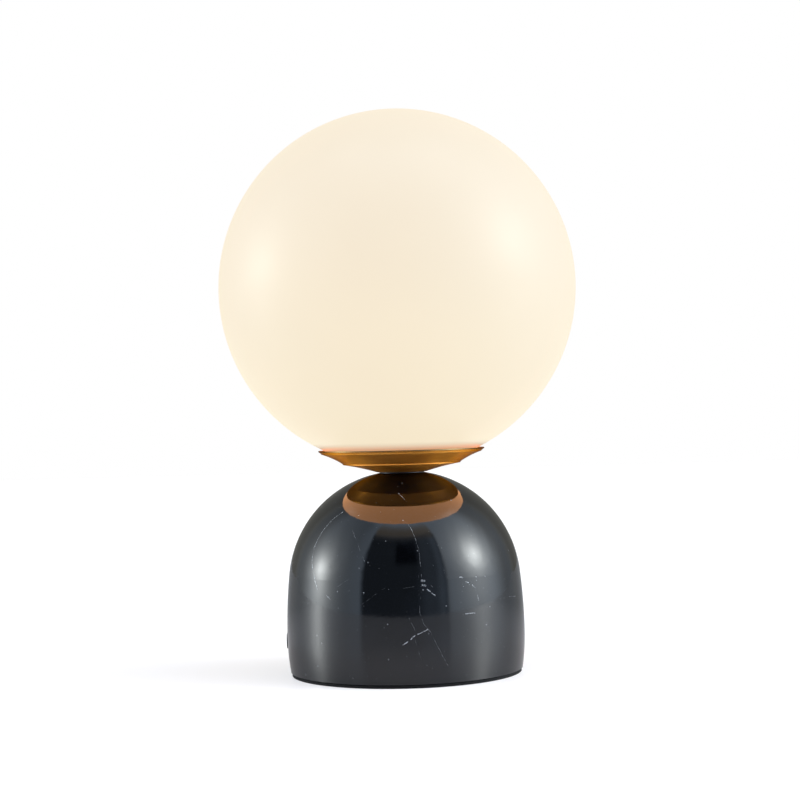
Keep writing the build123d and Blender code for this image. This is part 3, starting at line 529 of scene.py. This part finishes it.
def stone_veins():
    """All the veins of the marble: the ones listed, and cracked cells on the far sides.

    Cluster is 1 in the middle of each place with more grains.
    """
    tree, given, result = new_group("stone veins", {"Place": ("Vector", None)},
                                    {"Mask": "Float", "Cluster": "Float"})
    place = given["Place"]
    x, y, z = split(tree, place)
    angle = calc(tree, "ARCTAN2", x, times(tree, y, -1.0))
    flat = combined(tree, times(tree, angle, STONE_MAP_RADIUS), z)
    flat = vector_calc(tree, "ADD", flat, wander(tree, place, **VEIN_BENDS))
    link_group, mask, cluster = vein_link(), 0.0, 0.0
    for start, end, half_width, brightness in LINKS:
        mask = place_group(tree, link_group, {
            "Map": flat, "Start": start, "End": end, "Half Width": half_width, "Brightness": brightness,
            "Before": mask})["Mask"]
    for centre, radius in CLUSTERS:
        away = vector_calc(tree, "DISTANCE", flat, centre)
        cluster = calc(tree, "MAXIMUM", cluster, spread(tree, away, radius, 0.2 * radius))
    tree.links.new(cluster, result["Cluster"])
    bent = vector_calc(tree, "ADD", place, wander(tree, place, **CRACK_BENDS))
    cells = put(tree, "ShaderNodeTexVoronoi", {"Vector": bent, "Scale": CRACK_CELLS},
                feature="DISTANCE_TO_EDGE").outputs["Distance"]
    cracks = times(tree, spread(tree, cells, *CRACK_LINE), CRACK_LIGHT)
    patches = spread(tree, noise(tree, place, scale=17.0, detail=2.0), 0.50, 0.66)
    behind = spread(tree, calc(tree, "ABSOLUTE", angle), *FAR_SIDES)
    cracks = times(tree, cracks, times(tree, patches, behind))
    broken = spread(tree, noise(tree, place, scale=1100.0, roughness=0.75), 0.40, 0.60, to_low=0.12)
    mask = times(tree, calc(tree, "MAXIMUM", mask, cracks), broken)
    tree.links.new(mask, result["Mask"])
    return tree


def stone_specks():
    """Small pale grains scattered in the stone. Share is about how many of the cells hold one."""
    tree, given, result = new_group(
        "stone specks", {"Place": ("Vector", None), "Scale": ("Float", 500.0), "Share": ("Float", 0.02)},
        {"Mask": "Float"})
    cells = put(tree, "ShaderNodeTexVoronoi", {"Vector": given["Place"], "Scale": given["Scale"]})
    dots = spread(tree, cells.outputs["Distance"], 0.22, 0.05)
    lottery = put(tree, "ShaderNodeSeparateColor", {0: cells.outputs["Color"]}).outputs[0]
    limit = calc(tree, "SUBTRACT", 1.0, given["Share"])
    chosen = spread(tree, lottery, calc(tree, "SUBTRACT", limit, 0.01), calc(tree, "ADD", limit, 0.01))
    tree.links.new(times(tree, dots, chosen), result["Mask"])
    return tree


VEIN_GROUP, SPECK_GROUP = stone_veins(), stone_specks()
print("vein mask from", len(LINKS), "links")


# %% The marble itself
MARBLE_BLACK = rgb(0.0006, 0.0007, 0.0012)
MARBLE_CLOUD = rgb(0.0028, 0.0034, 0.0050)
CALCITE = rgb(0.62, 0.64, 0.68)
GRAIN_SHARE = (0.025, 0.12)             # of the cells, everywhere and added in the middle of a cluster
GRAINS = {"grains": (420.0, 0.35), "dust": (1050.0, 0.30)}      # name: (scale, brightness)


def marble_finish():
    material, tree, shader, place = new_finish("black_marble")
    cloud = spread(tree, noise(tree, place, scale=38.0, detail=6.0, roughness=0.62), 0.42, 0.72)
    stone = blend_colours(tree, cloud, MARBLE_BLACK, MARBLE_CLOUD)
    veins = place_group(tree, VEIN_GROUP, {"Place": place})
    white = veins["Mask"]
    share = calc(tree, "MULTIPLY_ADD", veins["Cluster"], GRAIN_SHARE[1], GRAIN_SHARE[0])
    for scale, brightness in GRAINS.values():
        specks = place_group(tree, SPECK_GROUP, {"Place": place, "Scale": scale, "Share": share})["Mask"]
        white = calc(tree, "MAXIMUM", white, times(tree, specks, brightness))
    surface = handled(tree, place, scale=45.0, roughness=0.055, wander=0.04)
    fill(tree, shader.inputs, {
        "Base Color": blend_colours(tree, white, stone, CALCITE),
        "Roughness": surface["Roughness"], "IOR": 1.53,
        "Normal": bump(tree, surface["Grain"], strength=0.04, distance=0.0001),
    })
    return material


marble = marble_finish()
print("finish", marble.name)

# %% [markdown]
# ## Satin brass under lacquer
# The dish is spun from brass, brushed to a satin and lacquered. The metal below the lacquer blurs what
# it reflects, most of all across the brush lines, which run round the axis. The lacquer on top adds
# a thin sharp reflection that grows bright at a glancing angle. The shader has exactly these two layers:
# a rough metallic base, stretched across the lines, and a smooth coat. The upright lip has a painted dark
# reflection.

# %% Brass
BRASS = rgb(0.92, 0.40, 0.07)
BRASS_DEEP = rgb(0.86, 0.35, 0.055)
# painted dark reflection on the upright lip of the dish
BRASS_LIP_PAINTED_REFLECTION = rgb(0.155, 0.14, 0.075)
BRASS_GRAZING = rgb(0.42, 0.26, 0.13)   # how much it keeps of a reflection at a glancing angle
LIP_HEIGHT = 0.6                        # of the lip with the painted dark reflection, in mm
LIP_EDGE = 0.1                          # half the soft edge of the painted dark reflection, in mm
BRUSH_FINENESS = 2600.0


def brass_finish(name, light, deep, roughness, coat, brushed, lip=None):
    """Brushed brass. Above the height lip, where one is given, a dark reflection is painted into its colour.
    """
    material, tree, shader, place = new_finish(name)
    surface = handled(tree, place, scale=70.0, roughness=roughness, wander=0.10)
    lines = place_group(tree, TURNED, {"Place": place, "Fineness": BRUSH_FINENESS})["Height"]
    tone = spread(tree, noise(tree, place, scale=55.0), 0.35, 0.65)
    colour = blend_colours(tree, tone, light, deep)
    if lip:
        # above the lip's height the colour turns to a painted dark reflection
        lip_painted_reflection = spread(tree, split(tree, place)[2], lip - LIP_EDGE * MM, lip + LIP_EDGE * MM)
        colour = blend_colours(tree, lip_painted_reflection, colour, BRASS_LIP_PAINTED_REFLECTION)
    fill(tree, shader.inputs, {
        "Base Color": colour, "Metallic": 1.0, "Roughness": surface["Roughness"],
        "Specular Tint": BRASS_GRAZING, "Anisotropic": brushed, "Anisotropic Rotation": 0.25,
        "Tangent": put(tree, "ShaderNodeTangent", direction_type="RADIAL", axis="Z").outputs[0],
        "Coat Weight": coat, "Coat Roughness": 0.05, "Coat IOR": 1.5,
        "Normal": bump(tree, lines, strength=0.12, distance=0.00005),
    })
    return material


dish_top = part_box("brass_dish")[1][2]
satin_brass = brass_finish("satin_brass", BRASS, BRASS_DEEP, roughness=0.39, coat=0.05, brushed=0.8,
                           lip=dish_top - LIP_HEIGHT * MM)
plain_brass = brass_finish("plain_brass", rgb(0.78, 0.58, 0.26), rgb(0.70, 0.50, 0.22), roughness=0.24,
                           coat=0.0, brushed=0.3)
print("finishes", satin_brass.name, plain_brass.name)

# %% [markdown]
# ## Opal glass, lit
# Opal glass is milky right through, so a bulb inside makes the whole globe glow evenly, a little warmer
# where the glass is lower and nearer the bulb. The shader adds a glow to a pale satin surface. A film or
# a sensor shows so bright a lamp as nearly white, while its dim mirror image in dark stone keeps the
# lamp's real warm colour. So the glow is stronger and warmer for the rays of a mirror image.

# %% Opal glass
OPAL_BODY = rgb(0.075, 0.095, 0.11)
OPAL_DEEP = rgb(0.07, 0.09, 0.105)
GLOW_RIM = rgb(0.42, 0.28, 0.17)        # just above the dish, where the holder shades the glass
GLOW_LOW = rgb(0.875, 0.742, 0.52)
GLOW_HIGH = rgb(0.868, 0.738, 0.55)
GLOW_IN_MIRRORS = rgb(3.95, 1.80, 0.74)
GLOW_MILK = rgb(0.985, 0.985, 0.985)    # where the glass is milkier
GLOW_RISE = (0.13, 0.27)                # heights in m, from the low glow to the high one
RIM_SHADE = (0.1295, 0.1240)            # heights in m, from the low glow down to the rim's


def opal_finish():
    material, tree, shader, place = new_finish("opal_glass")
    z = split(tree, place)[2]
    milk = noise(tree, place, scale=14.0)
    up = spread(tree, calc(tree, "MULTIPLY_ADD", milk, 0.02, z), *GLOW_RISE)
    glow = blend_colours(tree, up, GLOW_LOW, GLOW_HIGH)
    glow = blend_colours(tree, spread(tree, z, *RIM_SHADE), glow, GLOW_RIM)
    glow = blend_colours(tree, spread(tree, milk, 0.3, 0.7), glow, GLOW_MILK, "MULTIPLY")
    mirrored = put(tree, "ShaderNodeLightPath").outputs["Is Glossy Ray"]
    surface = handled(tree, place, scale=20.0, roughness=0.34, wander=0.06)
    fill(tree, shader.inputs, {
        "Base Color": blend_colours(tree, milk, OPAL_BODY, OPAL_DEEP),
        "Roughness": surface["Roughness"], "IOR": 1.5, "Specular IOR Level": 0.15,
        "Emission Color": blend_colours(tree, mirrored, glow, GLOW_IN_MIRRORS), "Emission Strength": 1.0,
        "Normal": bump(tree, surface["Grain"], strength=0.05, distance=0.0001),
    })
    return material


opal = opal_finish()
print("finish", opal.name)

# %% [markdown]
# ## The small and the hidden pieces
# The rest are plain workshop finishes: plated steel, moulded plastic, ceramic, rubber and felt. Each one
# is a function of its colour and roughness, with a little wander in both so that nothing looks printed.

# %% Workshop finishes
def plated(name, colour, roughness):
    material, tree, shader, place = new_finish(name)
    surface = handled(tree, place, scale=220.0, roughness=roughness, wander=0.18)
    fill(tree, shader.inputs, {
        "Base Color": blend_colours(tree, noise(tree, place, scale=300.0), colour, darker(colour, 0.82)),
        "Metallic": 1.0, "Roughness": surface["Roughness"],
        "Normal": bump(tree, surface["Grain"], strength=0.1, distance=0.00005),
    })
    return material


def moulded(name, colour, roughness):
    material, tree, shader, place = new_finish(name)
    surface = handled(tree, place, scale=180.0, roughness=roughness, wander=0.12)
    fill(tree, shader.inputs, {
        "Base Color": blend_colours(tree, noise(tree, place, scale=160.0), colour, darker(colour, 0.9)),
        "Roughness": surface["Roughness"],
        "Normal": bump(tree, surface["Grain"], strength=0.12, distance=0.00008),
    })
    return material


LEAD_GREEN = rgb(0.03, 0.28, 0.05)
LEAD_YELLOW = rgb(0.75, 0.62, 0.03)


def striped_lead():
    """Green insulation with slanting yellow stripes."""
    material, tree, shader, place = new_finish("lead_green_yellow")
    bands = put(tree, "ShaderNodeTexWave", {"Vector": place, "Scale": 90.0, "Distortion": 0.5},
                bands_direction="DIAGONAL").outputs["Fac"]
    stripes = blend_colours(tree, spread(tree, bands, 0.45, 0.55), LEAD_GREEN, LEAD_YELLOW)
    fill(tree, shader.inputs, {"Base Color": stripes, "Roughness": 0.45})
    return material


def glowing(name, colour, glow, strength):
    """A pale plastic that the bulb's own light shines through."""
    material, tree, shader, place = new_finish(name)
    cloud = noise(tree, place, scale=60.0)
    surface = handled(tree, place, scale=90.0, roughness=0.4, wander=0.1)
    fill(tree, shader.inputs, {
        "Base Color": blend_colours(tree, cloud, colour, darker(colour, 0.95)),
        "Roughness": surface["Roughness"], "Emission Strength": strength,
        "Emission Color": blend_colours(tree, cloud, glow, darker(glow, 0.94)),
    })
    return material


FINISHES = {
    "satin_brass": satin_brass, "plain_brass": plain_brass, "black_marble": marble, "opal_glass": opal,
    "zinc_steel": plated("zinc_steel", rgb(0.58, 0.59, 0.61), 0.34),
    "spring_steel": plated("spring_steel", rgb(0.45, 0.46, 0.49), 0.28),
    "nickel": plated("nickel", rgb(0.66, 0.64, 0.60), 0.22),
    "dark_lacquer": moulded("dark_lacquer", rgb(0.012, 0.009, 0.007), 0.35),
    "black_felt": moulded("black_felt", rgb(0.004, 0.004, 0.0045), 0.95),
    "black_plastic": moulded("black_plastic", rgb(0.012, 0.012, 0.013), 0.38),
    "white_plastic": moulded("white_plastic", rgb(0.80, 0.79, 0.76), 0.30),
    "white_ceramic": moulded("white_ceramic", rgb(0.84, 0.82, 0.77), 0.16),
    "black_rubber": moulded("black_rubber", rgb(0.02, 0.02, 0.02), 0.75),
    "clear_silicone": moulded("clear_silicone", rgb(0.70, 0.67, 0.60), 0.42),
    "lead_brown": moulded("lead_brown", rgb(0.14, 0.05, 0.02), 0.45),
    "lead_blue": moulded("lead_blue", rgb(0.02, 0.10, 0.42), 0.45),
    "lead_green_yellow": striped_lead(),
    "led_board": moulded("led_board", rgb(0.86, 0.86, 0.84), 0.35),
    "led_phosphor": glowing("led_phosphor", rgb(0.90, 0.70, 0.15), rgb(1.0, 0.80, 0.42), 6.0),
    "frosted_dome": glowing("frosted_dome", rgb(0.60, 0.57, 0.50), rgb(1.0, 0.80, 0.52), 0.42),
}
print(len(FINISHES), "finishes")

# %% [markdown]
# ## Pieces that follow a rule
# A turned piece is an outline swept round an axis, and small parts such as rivets repeat round it. Both
# are rules, so Geometry Nodes builds them: change a number and the piece follows. They could be modelled
# by hand with a spin and an array, but then every later change would be done by hand too. Each tree has
# named inputs, and its result is turned into a plain mesh before it joins the lamp.

# %% Helpers for geometry
def new_shape(name, inputs):
    """An empty geometry tree with named inputs, its sockets inside, and the output to link to."""
    tree = bpy.data.node_groups.new(name, "GeometryNodeTree")
    for title, (kind, default) in inputs.items():
        socket = tree.interface.new_socket(title, in_out="INPUT", socket_type="NodeSocket" + kind)
        socket.default_value = default
    tree.interface.new_socket("Geometry", in_out="OUTPUT", socket_type="NodeSocketGeometry")
    return tree, tree.nodes.new("NodeGroupInput").outputs, tree.nodes.new("NodeGroupOutput").inputs[0]


def between(tree, share, low, high):
    inputs = {"Value": share, "To Min": low, "To Max": high}
    return put(tree, "ShaderNodeMapRange", inputs, clamp=False).outputs["Result"]


def join(tree, *meshes):
    node = put(tree, "GeometryNodeJoinGeometry")
    for mesh in meshes:
        tree.links.new(mesh, node.inputs[0])
    return node.outputs[0]


def place_shape(tree, shape, inputs):
    return put(tree, "GeometryNodeGroup", inputs, node_tree=shape).outputs[0]


def point_place(tree):
    return split(tree, put(tree, "GeometryNodeInputPosition").outputs[0])


def move_points(tree, mesh, x, y, z):
    inputs = {"Geometry": mesh, "Position": combined(tree, x, y, z)}
    return put(tree, "GeometryNodeSetPosition", inputs).outputs[0]


def finish_shape(tree, mesh, finish, result):
    real = put(tree, "GeometryNodeRealizeInstances", {0: mesh}).outputs[0]
    dressed = put(tree, "GeometryNodeSetMaterial", {"Geometry": real, "Material": finish}).outputs[0]
    tree.links.new(dressed, result)


def build_piece(name, shape, values, body, stands_for=()):
    """Runs a geometry tree with these input values and keeps its mesh as a piece that rides a body."""
    piece = bpy.data.objects.new(name, bpy.data.meshes.new(name))
    bpy.context.scene.collection.objects.link(piece)
    modifier = piece.modifiers.new("shape", "NODES")
    modifier.node_group = shape
    for item in shape.interface.items_tree:
        if item.in_out == "INPUT" and item.name in values:
            modifier[item.identifier] = values[item.name]
    ready = piece.evaluated_get(bpy.context.evaluated_depsgraph_get())
    mesh = bpy.data.meshes.new_from_object(ready)
    piece.modifiers.remove(modifier)
    piece.data = mesh
    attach(piece, body)
    if stands_for:
        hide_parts(*stands_for)
    print(name, len(mesh.vertices), "points,", len(mesh.polygons), "faces")


def turned_arc():
    """A band swept round the axis. Its section is an arc, told by its centre, radius and two angles."""
    tree, given, result = new_shape("turned arc", {
        "Centre Radius": ("Float", 0.0), "Centre Height": ("Float", 0.0), "Arc Radius": ("Float", 0.1),
        "From": ("Float", 0.0), "To": ("Float", 1.0), "Steps Round": ("Int", 160),
        "Steps Along": ("Int", 32)})
    sheet = put(tree, "GeometryNodeMeshGrid", {
        "Size X": 1.0, "Size Y": 1.0, "Vertices X": calc(tree, "ADD", given["Steps Round"], 1.0),
        "Vertices Y": calc(tree, "ADD", given["Steps Along"], 1.0)}).outputs["Mesh"]
    x, y, _ = point_place(tree)
    round_angle = times(tree, x, 2 * math.pi)
    arc_angle = between(tree, calc(tree, "ADD", y, 0.5), given["From"], given["To"])
    out, up = calc(tree, "COSINE", arc_angle), calc(tree, "SINE", arc_angle)
    radius = calc(tree, "MULTIPLY_ADD", out, given["Arc Radius"], given["Centre Radius"])
    height = calc(tree, "MULTIPLY_ADD", up, given["Arc Radius"], given["Centre Height"])
    towards_front = times(tree, calc(tree, "COSINE", round_angle), radius)
    tree.links.new(move_points(
        tree, sheet, times(tree, calc(tree, "SINE", round_angle), radius),
        times(tree, towards_front, -1.0), height), result)
    return tree


TURNED_ARC = turned_arc()
print("geometry helpers ready, with", TURNED_ARC.name)

# %% [markdown]
# ## The globe
# A blown globe is one thin shell: an outer sphere, an inner one, and a lip at the mouth that the flame has
# rounded. Each of the three is a turned arc. Where they meet, the points are welded, and so are the pole
# and the seam, so that the glass is one closed skin.

# %% Globe
GLOBE_RADIUS = 100.0                    # this and the next ones in mm
GLOBE_WALL = 3.0
GLOBE_CENTRE = 215.0
LIP_OUTSIDE = 33.4                      # radius where the lip meets the outer sphere
LIP_INSIDE = 33.0                       # and where it meets the inner sphere
MOUTH = 31.9
WELD = 0.00001                          # points closer than this are one, in m


def globe_shape(finish):
    tree, given, result = new_shape("glass shell", {
        "Radius": ("Float", 0.1), "Wall": ("Float", 0.003), "Centre": ("Float", 0.215),
        "Lip Outside": ("Float", 0.0334), "Lip Inside": ("Float", 0.033),
        "Lip Centre Radius": ("Float", 0.033), "Lip Centre Height": ("Float", 0.122),
        "Lip Radius": ("Float", 0.0015), "Lip From": ("Float", 0.0), "Lip To": ("Float", 1.0)})
    inner = calc(tree, "SUBTRACT", given["Radius"], given["Wall"])

    def sphere_angle(at, radius):
        return times(tree, calc(tree, "ARCCOSINE", calc(tree, "DIVIDE", at, radius)), -1.0)

    outside = place_shape(tree, TURNED_ARC, {
        "Centre Height": given["Centre"], "Arc Radius": given["Radius"],
        "From": sphere_angle(given["Lip Outside"], given["Radius"]), "To": math.pi / 2, "Steps Along": 96})
    inside = place_shape(tree, TURNED_ARC, {
        "Centre Height": given["Centre"], "Arc Radius": inner,
        "From": math.pi / 2, "To": sphere_angle(given["Lip Inside"], inner), "Steps Along": 64})
    lip = place_shape(tree, TURNED_ARC, {
        "Centre Radius": given["Lip Centre Radius"], "Centre Height": given["Lip Centre Height"],
        "Arc Radius": given["Lip Radius"], "From": given["Lip From"], "To": given["Lip To"],
        "Steps Along": 10})
    shell = put(tree, "GeometryNodeMergeByDistance", {
        "Geometry": join(tree, outside, inside, lip), "Distance": WELD}).outputs[0]
    smooth = put(tree, "GeometryNodeSetShadeSmooth", {0: shell}).outputs[0]
    finish_shape(tree, smooth, finish, result)
    return tree


def arc_through(first, middle, last):
    """Centre, radius, and first and last angle of the arc through three (radius, height) points."""
    (ax, ay), (bx, by), (cx, cy) = first, middle, last
    twice = 2 * (ax * (by - cy) + bx * (cy - ay) + cx * (ay - by))
    a, b, c = ax * ax + ay * ay, bx * bx + by * by, cx * cx + cy * cy
    x = (a * (by - cy) + b * (cy - ay) + c * (ay - by)) / twice
    y = (a * (cx - bx) + b * (ax - cx) + c * (bx - ax)) / twice
    angles = [math.atan2(py - y, px - x) % (2 * math.pi) for px, py in (first, last)]
    return x, y, math.hypot(ax - x, ay - y), angles[0], angles[1]


def globe_values():
    inner = GLOBE_RADIUS - GLOBE_WALL
    low_out = GLOBE_CENTRE - math.sqrt(GLOBE_RADIUS**2 - LIP_OUTSIDE**2)
    low_in = GLOBE_CENTRE - math.sqrt(inner**2 - LIP_INSIDE**2)
    x, y, radius, start, end = arc_through(
        (LIP_INSIDE, low_in), (MOUTH, (low_out + low_in) / 2), (LIP_OUTSIDE, low_out))
    return {
        "Radius": GLOBE_RADIUS * MM, "Wall": GLOBE_WALL * MM, "Centre": GLOBE_CENTRE * MM,
        "Lip Outside": LIP_OUTSIDE * MM, "Lip Inside": LIP_INSIDE * MM, "Lip Centre Radius": x * MM,
        "Lip Centre Height": y * MM, "Lip Radius": radius * MM, "Lip From": start, "Lip To": end}


build_piece("globe_shell", globe_shape(opal), globe_values(), "globe", ["glass_globe"])

# %% [markdown]
# ## Small parts round the axis
# Rivets, light chips and grip ribs stand in rings round the lamp's axis. One tree does it: it puts a
# number of points on a circle, turns each one to face outwards, and sets one small part on every point.
# The small part itself is a tree too, so its sizes stay free.

# %% A ring of small parts
def ring_of(name, small_part, part_inputs, finish, smooth=True):
    """Tree that sets a small part, drawn about its own origin, on each point of a ring."""
    inputs = {"Count": ("Int", 3), "Ring Radius": ("Float", 0.01), "Height": ("Float", 0.0),
              "First Angle": ("Float", 0.0)}
    inputs.update({title: ("Float", value) for title, value in part_inputs.items()})
    tree, given, result = new_shape(name, inputs)
    ring = put(tree, "GeometryNodeMeshCircle", {"Vertices": given["Count"], "Radius": given["Ring Radius"]},
               fill_type="NONE").outputs[0]
    step = calc(tree, "DIVIDE", 2 * math.pi, given["Count"])
    angle = times(tree, put(tree, "GeometryNodeInputIndex").outputs[0], step)
    one = place_shape(tree, small_part, {title: given[title] for title in part_inputs})
    parts = put(tree, "GeometryNodeInstanceOnPoints", {
        "Points": ring, "Instance": one, "Rotation": combined(tree, z=angle)}).outputs[0]
    placed = put(tree, "GeometryNodeTransform", {
        "Geometry": parts, "Translation": combined(tree, z=given["Height"]),
        "Rotation": combined(tree, z=given["First Angle"])}).outputs[0]
    shaded = put(tree, "GeometryNodeSetShadeSmooth", {0: placed, "Shade Smooth": smooth}).outputs[0]
    finish_shape(tree, shaded, finish, result)
    return tree


def dome():
    """Half an ellipsoid on a flat underside."""
    tree, given, result = new_shape("dome", {
        "Dome Radius": ("Float", 0.002), "Dome Height": ("Float", 0.001)})
    ball = put(tree, "GeometryNodeMeshUVSphere", {"Segments": 24, "Rings": 12, "Radius": 1.0}).outputs[0]
    x, y, z = point_place(tree)
    tree.links.new(move_points(
        tree, ball, times(tree, x, given["Dome Radius"]), times(tree, y, given["Dome Radius"]),
        times(tree, calc(tree, "MAXIMUM", z, 0.0), given["Dome Height"])), result)
    return tree


def chip():
    """Square moulded package that narrows a little towards its top."""
    tree, given, result = new_shape("chip", {
        "Side": ("Float", 0.003), "Thickness": ("Float", 0.0005), "Draft": ("Float", 0.9)})
    corner = times(tree, given["Side"], math.sqrt(0.5))
    block = put(tree, "GeometryNodeMeshCone", {
        "Vertices": 4, "Radius Bottom": corner, "Radius Top": times(tree, corner, given["Draft"]),
        "Depth": given["Thickness"]}).outputs["Mesh"]
    square = put(tree, "GeometryNodeTransform", {"Geometry": block, "Rotation": (0, 0, math.pi / 4)})
    tree.links.new(square.outputs[0], result)
    return tree


def rib():
    """Upright bar with round ends: a ball whose halves are pulled apart."""
    tree, given, result = new_shape("rib", {"Rib Radius": ("Float", 0.0005), "Rib Length": ("Float", 0.006)})
    ball = put(tree, "GeometryNodeMeshUVSphere", {
        "Segments": 12, "Rings": 8, "Radius": given["Rib Radius"]}).outputs[0]
    x, y, z = point_place(tree)
    straight = calc(tree, "SUBTRACT", times(tree, given["Rib Length"], 0.5), given["Rib Radius"])
    pull = times(tree, calc(tree, "SIGN", z), straight)
    tree.links.new(move_points(tree, ball, x, y, calc(tree, "ADD", z, pull)), result)
    return tree


DOME, CHIP, RIB = dome(), chip(), rib()
print("small parts:", DOME.name, CHIP.name, RIB.name)

# %% [markdown]
# Three rivets hold the leaf springs that grip the globe, twelve light chips sit on the bulb's board, and
# fine ribs on the lampholder's cap give the fingers a grip. Radius and number are the real ones, and the
# heights are read from the solids that the parts stand on.

# %% Rivets, light chips and grip ribs
# every length in mm
RIVET_COUNT, RIVET_RING, RIVET_FIRST = 3, 14.0, math.radians(30)
RIVET_HEAD = (2.6, 0.8)                 # radius and height
CHIP_COUNT, CHIP_RING = 12, 18.0
CHIP_SIZE = (3.0, 0.5)                  # side and thickness
LENS_SIZE = (1.25, 0.28)                # radius and height
RIB_COUNT = 56
RIB_SIZE = (0.5, 6.5)                   # radius and length
RIB_DROP = 5.0                          # middle of the ribs below the cap's upper edge

chip_inputs = {"Side": 0.003, "Thickness": 0.0005, "Draft": 0.9}     # defaults, in m
dome_inputs = {"Dome Radius": 0.002, "Dome Height": 0.001}
rib_inputs = {"Rib Radius": 0.0005, "Rib Length": 0.006}
rivet_ring = ring_of("rivet heads", DOME, dome_inputs, FINISHES["zinc_steel"])
lens_ring = ring_of("chip lenses", DOME, dome_inputs, FINISHES["led_phosphor"])
chip_ring = ring_of("chip packages", CHIP, chip_inputs, FINISHES["led_board"], smooth=False)
rib_ring = ring_of("grip ribs", RIB, rib_inputs, FINISHES["white_plastic"])

rivet_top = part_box("clip_rivets")[1][2]
board_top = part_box("bulb_leds")[0][2]
cap_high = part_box("holder_cap")[1]

build_piece("rivet_heads", rivet_ring, {
    "Count": RIVET_COUNT, "Ring Radius": RIVET_RING * MM, "Height": rivet_top - RIVET_HEAD[1] * MM,
    "First Angle": RIVET_FIRST, "Dome Radius": RIVET_HEAD[0] * MM, "Dome Height": RIVET_HEAD[1] * MM,
}, "base", ["clip_rivets"])
build_piece("chip_packages", chip_ring, {
    "Count": CHIP_COUNT, "Ring Radius": CHIP_RING * MM, "Height": board_top,
    "Side": CHIP_SIZE[0] * MM, "Thickness": CHIP_SIZE[1] * MM,
}, "bulb", ["bulb_leds"])
build_piece("chip_lenses", lens_ring, {
    "Count": CHIP_COUNT, "Ring Radius": CHIP_RING * MM, "Height": board_top + CHIP_SIZE[1] * MM,
    "Dome Radius": LENS_SIZE[0] * MM, "Dome Height": LENS_SIZE[1] * MM,
}, "bulb")
build_piece("grip_ribs", rib_ring, {
    "Count": RIB_COUNT, "Ring Radius": cap_high[0], "Height": cap_high[2] - RIB_DROP * MM,
    "Rib Radius": RIB_SIZE[0] * MM, "Rib Length": RIB_SIZE[1] * MM,
}, "base")

# %% [markdown]
# ## Dressing the solids
# Each solid of the CAD model keeps its shape and gets the finish of the real piece.

# %% Which piece has which finish
DRESS = {
    "black_marble": ["marble_base"],
    "satin_brass": ["brass_dish"],
    "opal_glass": ["glass_globe"],
    "black_felt": ["foot_pad"],
    "dark_lacquer": ["neck_collar"],
    "black_plastic": ["cord_bush", "cord_clamp_block", "cord_clamp_bar", "bulb_cap_insulator"],
    "white_plastic": ["terminal_block", "holder_cap", "holder_body", "bulb_housing"],
    "white_ceramic": ["holder_insert"],
    "zinc_steel": ["lamp_tube", "recess_plate", "spring_washer", "clamp_nut", "cord_clamp_screws",
                   "terminal_screws", "terminal_block_screw", "earth_screw", "globe_clip_plate",
                   "clip_rivets", "holder_locking_screw", "holder_post_screws"],
    "spring_steel": ["globe_clips"],
    "plain_brass": ["terminal_tubes", "earth_tag", "dish_nut", "holder_contact_posts",
                    "holder_centre_contact", "holder_screw_shell"],
    "nickel": ["bulb_cap", "bulb_tip_contact"],
    "black_rubber": ["rubber_washer"],
    "clear_silicone": ["seat_ring"],
    "lead_brown": ["live_lead"],
    "lead_blue": ["neutral_lead"],
    "lead_green_yellow": ["earth_lead"],
    "led_board": ["bulb_led_board"],
    "led_phosphor": ["bulb_leds"],
    "frosted_dome": ["bulb_diffuser"],
}


def dress(node, finish):
    solid = NODES[node]
    solid.data.materials.clear()
    solid.data.materials.append(finish)


for finish_name, solids in DRESS.items():
    for solid_name in solids:
        dress(solid_name, FINISHES[finish_name])
undressed = set(NODES) - {name for solids in DRESS.values() for name in solids}
print("dressed", len(NODES) - len(undressed), "solids, left over:", sorted(undressed))
